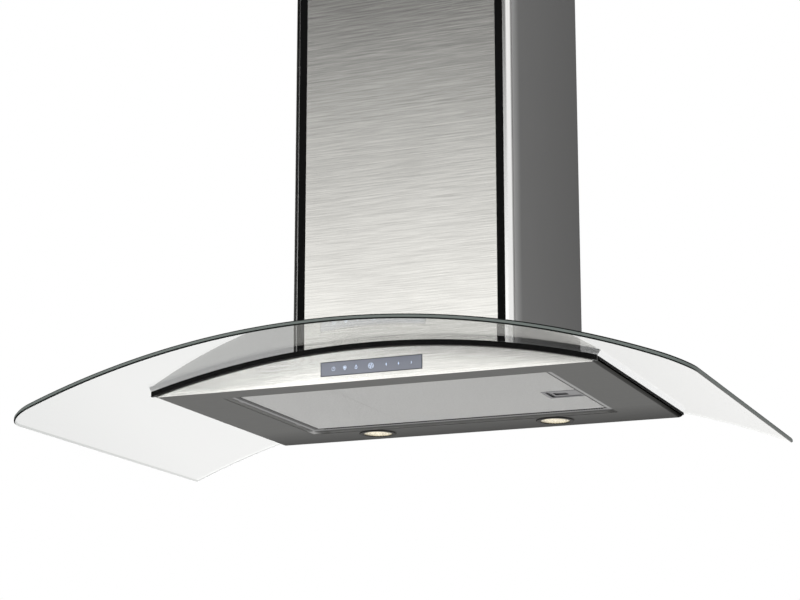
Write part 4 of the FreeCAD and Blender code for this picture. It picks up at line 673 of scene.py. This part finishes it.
def flat_pane(sizes):
    """The pane before bending: two faces, a straight edge and two bevels, cut in strips along x."""
    shape = bmesh.new()
    bevel = sizes.edge_bevel
    thick = sizes.glass_thickness
    levels = [(bevel, 0.0), (0.0, bevel), (0.0, thick - bevel), (bevel, thick)]
    rings = [[shape.verts.new((x, y, level)) for x, y in pane_outline(sizes, inset)]
             for inset, level in levels]
    for low, high, slot in zip(rings, rings[1:], (BEVEL_SLOT, EDGE_SLOT, BEVEL_SLOT)):
        for band in bridge(shape, low, high):
            band.material_index = slot
    shape.faces.new(list(reversed(rings[0])))
    shape.faces.new(rings[3])
    width = 2 * GLASS_HIGH.x
    for step in range(1, sizes.bend_steps):
        at = GLASS_LOW.x + width * step / sizes.bend_steps
        cut(shape, (at, 0.0, 0.0), (1.0, 0.0, 0.0), dist=1e-6)
    return mesh_from(shape, "flat_pane")


def bend_recipe():
    """Bend a flat pane over a cylinder whose axis runs along y."""
    recipe = Recipe("bend_pane", Bend_Radius="length", Crown_Height="length")
    position = recipe.add("GeometryNodeInputPosition")
    x, y, z = recipe.add("ShaderNodeSeparateXYZ", {0: position.outputs[0]}).outputs
    bend = recipe.given("Bend Radius")
    radius = recipe.sum("ADD", bend, z)
    level = recipe.sum("SUBTRACT", recipe.times(radius, radius), recipe.times(x, x))
    lowered = recipe.sum("SUBTRACT", recipe.sum("SQRT", level), bend)
    height = recipe.sum("ADD", lowered, recipe.given("Crown Height"))
    place = recipe.add("ShaderNodeCombineXYZ", {"X": x, "Y": y, "Z": height})
    moved = recipe.add("GeometryNodeSetPosition", {
        "Geometry": recipe.given("Geometry"), "Position": place.outputs[0]})
    return recipe.give(moved.outputs["Geometry"])


# ---- Filter ----

def wires_recipe():
    """A row of straight wires along y, spread along x."""
    recipe = Recipe("filter_wires", Count="count", Pitch="length", Wire_Radius="length",
                    Length="length", Material="material")
    wire = recipe.add("GeometryNodeMeshCylinder", {
        "Vertices": 6, "Radius": recipe.given("Wire Radius"), "Depth": recipe.given("Length")})
    lying = recipe.add("GeometryNodeTransform", {
        "Geometry": wire.outputs["Mesh"], "Rotation": (math.radians(90), 0.0, 0.0)})
    return recipe.place(recipe.row(), lying.outputs["Geometry"])


def clipped(mesh, low, high):
    """What lies between two corners of a plan rectangle, with the cut ends closed."""
    shape = bmesh.new()
    shape.from_mesh(mesh)
    for point, outward in (((low[0], 0, 0), (-1, 0, 0)), ((high[0], 0, 0), (1, 0, 0)),
                           ((0, low[1], 0), (0, -1, 0)), ((0, high[1], 0), (0, 1, 0))):
        cut(shape, point, outward, clear_outer=True, dist=1e-7)
        rim = [edge for edge in shape.edges if edge.is_boundary]
        bmesh.ops.holes_fill(shape, edges=rim, sides=12)
    return plain_mesh(shape, "clipped")


def filter_windows(sizes):
    """The plan rectangles that the wires fill: left of the seam, right of it, and beside the latch."""
    play = 0.1 * MM
    # the tabs stand out of the frame on its left, so the mesh gives that side
    left = MESH_LOW.x + 3.0 * MM + play
    right = FILTER_HIGH.x - sizes.filter_border - play
    front = FILTER_LOW.y + sizes.filter_border + play
    back = FILTER_HIGH.y - sizes.filter_border - play
    seam = sizes.filter_seam + 0.2 * MM
    gap = 0.35 * MM
    beside = LATCH_LOW.x - play
    yield (left, front), (seam - gap, back)
    yield (seam + gap, front), (beside, back)
    yield (beside, front), (right, LATCH_LOW.y - play)
    yield (beside, LATCH_HIGH.y + play), (right, back)


def filter_weave(sizes):
    """Two crossed layers of wires at 45 degrees, cut to the filter's windows."""
    centre = (FILTER_LOW + FILTER_HIGH) / 2
    reach = (FILTER_HIGH - FILTER_LOW).length
    count = int(reach / sizes.weave_pitch)
    empty = bpy.data.meshes.new("weave_start")
    row = wires_recipe().apply(empty, "weave_row", Count=count, Pitch=sizes.weave_pitch,
                               Wire_Radius=sizes.weave_wire / 2, Length=reach,
                               Material=MATERIALS["weave"])
    level = MESH_LOW.z - sizes.weave_wire * 0.45
    whole = bmesh.new()
    for layer, turn in enumerate((45.0, -45.0)):
        mesh = row.copy()
        mesh.transform(Matrix.Translation((centre.x, centre.y, level - layer * sizes.weave_wire * 0.7))
                       @ Matrix.Rotation(math.radians(turn), 4, "Z")
                       @ Matrix.Translation((-count * sizes.weave_pitch / 2, 0.0, 0.0)))
        for low, high in filter_windows(sizes):
            whole.from_mesh(clipped(mesh, low, high))
    return smooth(mesh_from(whole, "filter_weave"), 50.0)


def rib_recipe():
    """Short ribs in a row along x, each a small block."""
    recipe = Recipe("edge_ribs", Count="count", Pitch="length", Width="length", Depth="length",
                    Height="length", Material="material")
    size = recipe.add("ShaderNodeCombineXYZ", {
        "X": recipe.given("Width"), "Y": recipe.given("Depth"), "Z": recipe.given("Height")})
    block = recipe.add("GeometryNodeMeshCube", {"Size": size.outputs[0]})
    return recipe.place(recipe.row(), block.outputs["Mesh"])


def rear_ribs(sizes):
    """The row of punched ribs along the frame's rear border."""
    border = sizes.filter_border
    inwards = 2.2 * MM
    sunk = 0.16 * MM
    count = int((FILTER_HIGH.x - MESH_LOW.x - 2 * border) / sizes.rib_pitch)
    ribs = rib_recipe().apply(bpy.data.meshes.new("rib_start"), "filter_ribs", Count=count,
                              Pitch=sizes.rib_pitch, Width=sizes.rib_pitch * 0.5, Depth=4.0 * MM,
                              Height=0.3 * MM, Material=MATERIALS["rubber"])
    ribs.transform(Matrix.Translation((
        MESH_LOW.x + border, FILTER_HIGH.y - border + inwards, FILTER_LOW.z - sunk)))
    return ribs


# ---- Lamps ----

def facet_recipe():
    """A ring of six-sided facets, each a low frustum that points down."""
    recipe = Recipe("lens_facets", Count="count", Ring_Radius="length", Facet_Radius="length",
                    Depth="length", Material="material")
    ring = recipe.add("GeometryNodeMeshCircle", {
        "Vertices": recipe.given("Count"), "Radius": recipe.given("Ring Radius")})
    radius = recipe.given("Facet Radius")
    facet = recipe.add("GeometryNodeMeshCone", {
        "Vertices": 6, "Radius Top": radius, "Radius Bottom": recipe.times(radius, 0.35),
        "Depth": recipe.given("Depth")})
    return recipe.place(ring.outputs["Mesh"], facet.outputs["Mesh"])


def turned(profile, centre, steps=48):
    """A closed ring or disc turned about a vertical axis from (radius, height) corners."""
    shape = bmesh.new()
    rings = []
    for radius, height in profile:
        if radius < 1e-9:
            rings.append([shape.verts.new((centre[0], centre[1], height))] * steps)
        else:
            rings.append([shape.verts.new((
                centre[0] + radius * math.cos(math.tau * step / steps),
                centre[1] + radius * math.sin(math.tau * step / steps), height))
                for step in range(steps)])
    for first, second in zip(rings, rings[1:]):
        bridge(shape, first, second)
    return shape


def lamp_lens(sizes, node):
    """A convex disc with rings of facets under it."""
    low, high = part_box(node)
    centre = (low + high) / 2
    reach = (high.x - low.x) / 2
    depth = 1.0 * MM
    plate = low.z + depth
    whole = turned([(0.0, plate), (reach * 0.97, plate), (reach, plate + 0.3 * MM), (reach, high.z),
                    (0.0, high.z)], centre)
    recipe = facet_recipe()
    step = reach / (sizes.lens_rings + 0.55)
    for ring in range(1, sizes.lens_rings + 1):
        facets = recipe.apply(bpy.data.meshes.new("facet_start"), "facet_ring", Count=6 * ring,
                              Ring_Radius=step * ring, Facet_Radius=sizes.lens_facet, Depth=depth,
                              Material=MATERIALS["lens"])
        facets.transform(Matrix.Translation((centre.x, centre.y, plate - depth / 2)))
        whole.from_mesh(facets)
    return mesh_from(whole, "lamp_lens")


# ---- Display ----

MARK_DEPTH = 0.12 * MM


def flat_ring(shape, centre, outer, inner, front, steps=24, start=0.0, end=360.0):
    """A flat ring, or part of one, on the display: a thin closed band."""
    back = front + MARK_DEPTH
    whole = abs(end - start - 360.0) < 0.01
    count = steps if whole else steps + 1
    rows = []
    for step in range(count):
        turn = math.radians(start + (end - start) * step / steps)
        across = Vector((math.cos(turn), 0.0, math.sin(turn)))
        rows.append([shape.verts.new(Vector((centre[0], depth, centre[1])) + across * reach)
                     for depth, reach in ((front, inner), (front, outer), (back, outer), (back, inner))])
    for step in range(steps):
        bridge(shape, rows[step], rows[(step + 1) % count])
    if not whole:
        shape.faces.new(rows[0])
        shape.faces.new(list(reversed(rows[-1])))


def flat_bar(shape, start, end, width, front):
    """A flat bar between two points of the display."""
    first, last = (Vector((point[0], 0.0, point[1])) for point in (start, end))
    along = (last - first).normalized()
    across = Vector((-along.z, 0.0, along.x)) * (width / 2)
    corners = [first - across, last - across, last + across, first + across]
    near, far = ([shape.verts.new(corner + Vector((0.0, depth, 0.0))) for corner in corners]
                 for depth in (front, front + MARK_DEPTH))
    shape.faces.new(near)
    shape.faces.new(list(reversed(far)))
    bridge(shape, near, far)


def display_symbols():
    """Seven plain symbols: clock, lamp, drop, fan, and three speed marks."""
    shape = bmesh.new()
    front = DISPLAY_LOW.y - 0.1 * MM
    level = (DISPLAY_LOW.z + DISPLAY_HIGH.z) / 2
    middle = (DISPLAY_LOW.x + DISPLAY_HIGH.x) / 2
    line = 0.45 * MM

    def at(offset, up=0.0):
        return middle + offset * MM, level + up * MM

    def bar(start, end, width=line):
        flat_bar(shape, at(*start), at(*end), width, front)

    def ring(centre, outer, width=line, *arc):
        flat_ring(shape, at(*centre), outer * MM, outer * MM - width, front, *arc)

    # clock: a fine ring with two hands
    ring((-51.5,), 2.5, line * 0.6)
    bar((-51.5,), (-51.5, 1.5), line * 0.6)
    bar((-51.5,), (-50.4,), line * 0.6)
    # lamp: a round bulb over a foot line
    ring((-35.8, 0.6), 2.3)
    ring((-35.8, 0.6), 1.0, 0.8 * MM)
    bar((-37.0, -2.3), (-34.6, -2.3))
    # drop
    ring((-20.3, -0.7), 1.7, line, 16, 135.0, 405.0)
    for side in (-21.4, -19.2):
        bar((side, 0.3), (-20.3, 2.6))
    # fan: a ring with four blades
    ring((0.0,), 3.6, line, 32)
    for quarter in range(4):
        turn = math.radians(45 + 90 * quarter)
        bar((0.7 * math.cos(turn), 0.7 * math.sin(turn)),
            (2.6 * math.cos(turn + 0.5), 2.6 * math.sin(turn + 0.5)), line * 1.6)
    # speed marks: a one, a plus and an arc
    for start, end in (((21.0, -1.8), (21.0, 1.8)), ((19.9, 0.0), (21.0, 1.1)),
                       ((37.5, -1.8), (37.5, 1.8)), ((36.3, 0.0), (38.7, 0.0))):
        bar(start, end)
    ring((53.2, 0.0), 2.0, line, 12, -60.0, 60.0)
    return mesh_from(shape, "display_symbols")


def display_rim():
    """Thin dark border round the display's face."""
    shape = bmesh.new()
    front = DISPLAY_LOW.y - 0.05 * MM
    thick = 0.1 * MM
    wide = 0.9 * MM
    rings = []
    for inset in (0.0, wide):
        low = DISPLAY_LOW + Vector((inset, 0.0, inset))
        high = DISPLAY_HIGH - Vector((inset, 0.0, inset))
        for depth in (front, front + thick):
            rings.append([shape.verts.new((x, depth, z)) for x, z in (
                (low.x, low.z), (high.x, low.z), (high.x, high.z), (low.x, high.z))])
    for first, second in ((0, 1), (1, 3), (3, 2), (2, 0)):
        bridge(shape, rings[first], rings[second])
    return mesh_from(shape, "display_rim")


# ---- Screws ----

def screw_head(radius, height):
    """A domed head with a cross recess, its seat at z = -height and its crown at z = 0."""
    profile = [(0.0, -height), (radius, -height), (radius, -height * 0.55),
               (radius * 0.86, -height * 0.2), (radius * 0.5, -height * 0.03), (0.0, 0.0)]
    base = linked("screw_base", mesh_from(turned(profile, (0.0, 0.0), 28), "screw_head"))
    cross = bmesh.new()
    arm = radius * 0.55
    slot = radius * 0.17
    for wide, long in ((slot, arm), (arm, slot)):
        block = bmesh.ops.create_cube(cross, size=1.0)["verts"]
        bmesh.ops.scale(cross, verts=block, vec=(2 * wide, 2 * long, height * 1.3))
    cutter = linked("screw_cutter", mesh_from(cross, "cross_recess"))
    boolean = base.modifiers.new("recess", "BOOLEAN")
    boolean.object = cutter
    boolean.operation = "DIFFERENCE"
    boolean.use_self = True
    result = evaluated(base)
    bpy.data.objects.remove(cutter)
    return result


def screws_recipe():
    """A screw head on each point, turned so that its crown looks along the point's direction."""
    recipe = Recipe("screws", Head="object", Material="material")
    head = recipe.add("GeometryNodeObjectInfo", {"Object": recipe.given("Head")})
    outward = recipe.add("GeometryNodeInputNamedAttribute", {"Name": "outward"},
                         data_type="FLOAT_VECTOR")
    turn = recipe.add("FunctionNodeAlignRotationToVector", {"Vector": outward.outputs["Attribute"]},
                      axis="Z")
    return recipe.place(recipe.given("Geometry"), head.outputs["Geometry"],
                        Rotation=turn.outputs["Rotation"])


def screw_places(node, direction):
    """The crown and outward direction of each screw of a CAD node."""
    places = []
    for points in islands(node):
        middle = sum(points, Vector()) / len(points)
        outward = direction(middle)
        top = max(point.dot(outward) for point in points)
        crown = [point for point in points if point.dot(outward) > top - 0.05 * MM]
        places.append((sum(crown, Vector()) / len(crown), outward))
    return places


def radial(middle):
    """Square to the bent glass."""
    sizes = bpy.context.scene.hood_sizes
    crown = GLASS_HIGH.z - sizes.glass_thickness
    return Vector((middle.x, 0.0, middle.z - (crown - sizes.glass_bend))).normalized()


def sideways(middle):
    """Away from the middle plane."""
    return Vector((math.copysign(1.0, middle.x), 0.0, 0.0))


SCREW_GROUPS = {
    # CAD node: (body, outward direction, head radius, head height)
    "glass_screws": ("hood", radial, 5.0, 2.2),
    "deck_screws": ("hood", radial, 3.5, 2.2),
    "collar_screws": ("hood", lambda middle: Vector((0.0, 0.0, 1.0)), 4.0, 2.2),
    "casing_screws": ("hood", sideways, 4.0, 2.2),
    "spider_screws": ("hood", lambda middle: Vector((-1.0, 0.0, 0.0)), 4.0, 2.2),
    "bracket_screws": ("upper", sideways, 4.0, 1.1),
}


# ---- Stage ----

PHOTO_WIDTH = 800.0
FOCAL_PIXELS = 2156.0
SENSOR = 36.0
CAMERA_PLACE = (1.044, -2.850, -0.749)
CAMERA_PITCH = 13.77
CAMERA_TURN = 22.24
FLOOR_LEVEL = -1.15
FLOOR_REACH = 2.2
FLOOR_CENTRE = (0.0, -0.3)


def make_camera():
    """The camera of the photograph's view, from below and from the hood's right."""
    data = bpy.data.cameras.new("view_camera")
    data.sensor_width = SENSOR
    data.lens = FOCAL_PIXELS * SENSOR / PHOTO_WIDTH
    data.clip_start = 0.05
    data.clip_end = 50.0
    camera = linked("view_camera", data)
    camera.location = CAMERA_PLACE
    camera.rotation_euler = (math.radians(90 + CAMERA_PITCH), 0.0, math.radians(CAMERA_TURN))
    bpy.context.scene.camera = camera


def make_lamp(name, place, aim, width, watts):
    """A soft square lamp that looks at a point."""
    data = bpy.data.lights.new(name, "AREA")
    data.size = width
    data.energy = watts
    lamp = linked(name, data)
    lamp.location = place
    lamp.rotation_euler = (Vector(aim) - Vector(place)).to_track_quat("-Z", "Y").to_euler()
    lamp.visible_glossy = False


def make_world():
    """White for the camera and through glass, a soft studio round metal, plain grey light for the rest.

    The studio's strength goes by the ray's direction, whose parts run from -1 to 1.
    """
    world = bpy.data.worlds.new("studio")
    bpy.context.scene.world = world
    world.use_nodes = True
    world.node_tree.nodes.clear()
    sky = Tree(world.node_tree)
    place = sky.add("ShaderNodeTexCoord")
    across, depth, height = sky.add("ShaderNodeSeparateXYZ", {0: place.outputs["Generated"]}).outputs

    def soft(source, low, high, start, end):
        return sky.span(source, low, high, start, end, "SMOOTHSTEP")

    # in front: light from below up to the lamps' height, then darker
    front = sky.times(soft(height, 0.30, 1.0, -0.03, 0.10), sky.span(height, 1.98, 0.02, 0.16, 0.373))
    back = sky.times(sky.span(height, 2.30, 1.12, -0.43, -0.10), soft(height, 1.0, 0.32, 0.10, 0.17))
    round_about = sky.blend(back, front, soft(depth, 1.0, 0.0, -0.25, 0.2))
    # the right end is light, and the left end dark except behind and above
    right_lit = sky.blend(round_about, 1.0, soft(across, 0.0, 1.0, 0.45, 0.75))
    darkened = sky.times(right_lit, soft(across, 0.03, 1.0, -0.60, -0.46))
    left_rear = sky.times(soft(across, 1.0, 0.0, -0.60, -0.46), soft(depth, 0.0, 1.0, 0.3, 0.5))
    level = sky.blend(darkened, 1.0, sky.times(left_rear, soft(height, 0.0, 1.0, 0.0, 0.1)))

    def light(strength, colour=(1.0, 1.0, 1.0)):
        return sky.add("ShaderNodeBackground", {
            "Color": (*colour, 1.0), "Strength": strength}).outputs["Background"]

    lit = sky.mixed(sky.ray("Is Glossy Ray"), light(0.55), light(level, (1.0, 0.995, 0.98)))
    through = sky.mixed(sky.ray("Is Transmission Ray"), lit, light(0.56))
    sky.add("ShaderNodeOutputWorld", {"Surface": sky.mixed(sky.ray("Is Camera Ray"), through, light(1.0))})
    world.cycles.sampling_method = "NONE"


def floor_finish():
    """Pale floor: white to the camera, with a soft trace of the shadow on it, and clear from below."""
    finish = Finish("pale_floor", (0.9, 0.9, 0.9), 0.0, 0.9)
    finish.colour_by(finish.noise(finish.place(), 3.0, 2.0), 0.99, 1.0)
    glow = finish.add("ShaderNodeEmission", {"Strength": 1.0})
    finish.mix_with(finish.span(finish.ray("Is Camera Ray"), 0.0, 0.8), glow.outputs["Emission"])
    return finish.clear_by(finish.from_behind()).material


# ---- Operators ----

class HOOD_OT_stage(bpy.types.Operator):
    """Make the floor, the soft light and the camera"""

    bl_idname = "hood.make_stage"
    bl_label = "Stage"

    def execute(self, context):
        middle = Vector((*FLOOR_CENTRE, FLOOR_LEVEL))
        corners = [middle + Vector((x * FLOOR_REACH, y * FLOOR_REACH, 0.0))
                   for x, y in ((-1, -1), (1, -1), (1, 1), (-1, 1))]
        mesh = bpy.data.meshes.new("floor")
        mesh.from_pydata(corners, [], [(0, 1, 2, 3)])
        mesh.materials.append(floor_finish())
        floor = linked("floor", mesh)
        floor.visible_glossy = False
        floor.visible_transmission = False
        make_world()
        make_lamp("key_lamp", (-1.6, -2.4, 1.3), (0.0, -0.2, 0.0), 1.6, 26.0)
        make_lamp("fill_lamp", (2.2, -1.6, 0.6), (0.0, -0.2, 0.0), 1.6, 14.0)
        make_lamp("low_lamp", (0.0, -1.2, -1.05), (0.0, -0.25, -0.2), 1.4, 9.0)
        make_camera()
        context.scene.view_settings.view_transform = "Standard"
        return {"FINISHED"}


FRAME_FINISHES = {
    "face": "chimney_face",
    "panel": "front_panel",
    "tray": "underside_tray",
    "side": "chimney_side_left chimney_side_right",
    "corner": "chimney_corner_left chimney_corner_right",
    "strip": "chimney_strip_left chimney_strip_right",
    "trim": "front_trim",
    "rubber": "gasket_left gasket_right glass_washers",
    "upper": "upper_cover",
    "zinc": "deck_plate blower_casing wall_plate motor_spider top_bracket capacitor_clip",
    "dark_plastic": "scroll_half_left scroll_half_right outlet_transition impeller outlet_collar "
                    "damper_flap_front damper_flap_rear cable_gland",
    "white_plastic": "lamp_driver terminal_box capacitor",
    "motor": "motor",
    "bright": "motor_shaft damper_pin latch_spring " + " ".join(SCREW_GROUPS),
}


class HOOD_OT_finishes(bpy.types.Operator):
    """Give the steel body, the chimney and the inner pieces their finishes"""

    bl_idname = "hood.paint_frame"
    bl_label = "Finishes"

    def execute(self, context):
        make_materials(context.scene.hood_sizes, context.scene.hood_colours)
        for word, nodes in FRAME_FINISHES.items():
            paint(word, *nodes.split())
        return {"FINISHED"}


class HOOD_OT_canopy(bpy.types.Operator):
    """Make the bent glass pane with its polished edge"""

    bl_idname = "hood.make_canopy"
    bl_label = "Glass Canopy"

    def execute(self, context):
        sizes = context.scene.hood_sizes
        crown = GLASS_HIGH.z - sizes.glass_thickness
        bent = bend_recipe().apply(flat_pane(sizes), "bent_pane", Bend_Radius=sizes.glass_bend,
                                   Crown_Height=crown)
        pane = piece_from(smooth(bent, 30.0), "bent_glass_pane", "hood", "clear_glass",
                          "glass", "edge", "edge_bevel")
        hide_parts("glass_canopy")
        return {"FINISHED"}


class HOOD_OT_display(bpy.types.Operator):
    """Make the display's face, border and lit symbols"""

    bl_idname = "hood.make_display"
    bl_label = "Display"

    def execute(self, context):
        paint("display", "control_glass")
        paint("circuit", "touch_board")
        piece_from(display_rim(), "display_border", "hood", "dark_glass", "display_rim")
        piece_from(display_symbols(), "display_marks", "hood", "dark_glass", "symbols")
        return {"FINISHED"}


class HOOD_OT_filter(bpy.types.Operator):
    """Make the grease filter's crossed wires, its rear ribs, its latch and the latch's spring"""

    bl_idname = "hood.make_filter"
    bl_label = "Grease Filter"

    def execute(self, context):
        sizes = context.scene.hood_sizes
        paint("frame", "filter_frame")
        paint("backing", "filter_mesh")
        paint("latch_base", "latch_base")
        paint("latch", "filter_latch")
        piece_from(filter_weave(sizes), "filter_weave", "filter", "aluminium_mesh", "weave")
        piece_from(rear_ribs(sizes), "filter_rear_ribs", "filter", "aluminium_frame", "rubber")
        coil = piece_from(NODES["latch_spring"].data.copy(), "latch_coil", "filter", "spring_steel", "bright")
        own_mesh(coil)
        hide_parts("latch_spring")
        return {"FINISHED"}


class HOOD_OT_lamps(bpy.types.Operator):
    """Make the two faceted lamp lenses"""

    bl_idname = "hood.make_lamps"
    bl_label = "Lamps"

    def execute(self, context):
        sizes = context.scene.hood_sizes
        for word in ("left", "right"):
            paint("lamp_ring", "lamp_ring_" + word)
            paint("reflector", "lamp_cup_" + word)
            paint("bulb", "lamp_bulb_" + word)
            lens = piece_from(lamp_lens(sizes, "lamp_lens_" + word), "faceted_lens_" + word, "hood",
                              "lamp_lens", "lens")
            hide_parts("lamp_lens_" + word)
        return {"FINISHED"}


class HOOD_OT_screws(bpy.types.Operator):
    """Make the heads of the screws"""

    bl_idname = "hood.make_screws"
    bl_label = "Screws"

    def execute(self, context):
        recipe = screws_recipe()
        for node, (body, direction, radius, height) in SCREW_GROUPS.items():
            head = linked("head", screw_head(radius * MM, height * MM))
            places = screw_places(node, direction)
            points = bpy.data.meshes.new(node + "_points")
            points.from_pydata([tuple(place) for place, outward in places], [], [])
            outward = points.attributes.new("outward", "FLOAT_VECTOR", "POINT")
            outward.data.foreach_set("vector", [value for place, way in places for value in way])
            heads = recipe.apply(points, node + "_heads", Head=head, Material=MATERIALS["bright"])
            bpy.data.objects.remove(head)
            made = piece_from(smooth(heads, 40.0), node.replace("screws", "screw_heads"), body,
                              "screw_steel", "bright")
            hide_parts(node)
        return {"FINISHED"}


class HOOD_PT_panel(bpy.types.Panel):
    """Lists the pieces of the hood"""

    bl_label = "Glass Range Hood"
    bl_idname = "HOOD_PT_panel"
    bl_space_type = "VIEW_3D"
    bl_region_type = "UI"
    bl_category = "Hood"

    def draw(self, context):
        for group in (context.scene.hood_sizes, context.scene.hood_colours):
            box = self.layout.box()
            for name in group.__annotations__:
                box.prop(group, name)
        for operator in OPERATORS:
            self.layout.operator(operator.bl_idname)


OPERATORS = (HOOD_OT_stage, HOOD_OT_finishes, HOOD_OT_canopy, HOOD_OT_display, HOOD_OT_filter,
             HOOD_OT_lamps, HOOD_OT_screws)
CLASSES = (HoodSizes, HoodColours, *OPERATORS, HOOD_PT_panel)


def register():
    for item in CLASSES:
        bpy.utils.register_class(item)
    bpy.types.Scene.hood_sizes = PointerProperty(type=HoodSizes)
    bpy.types.Scene.hood_colours = PointerProperty(type=HoodColours)


def unregister():
    del bpy.types.Scene.hood_colours
    del bpy.types.Scene.hood_sizes
    for item in reversed(CLASSES):
        bpy.utils.unregister_class(item)


def main():
    """Register the add-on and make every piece."""
    register()
    bpy.ops.hood.make_stage()
    bpy.ops.hood.paint_frame()
    bpy.ops.hood.make_canopy()
    bpy.ops.hood.make_display()
    bpy.ops.hood.make_filter()
    bpy.ops.hood.make_lamps()
    bpy.ops.hood.make_screws()


if __name__ == "__main__":
    main()
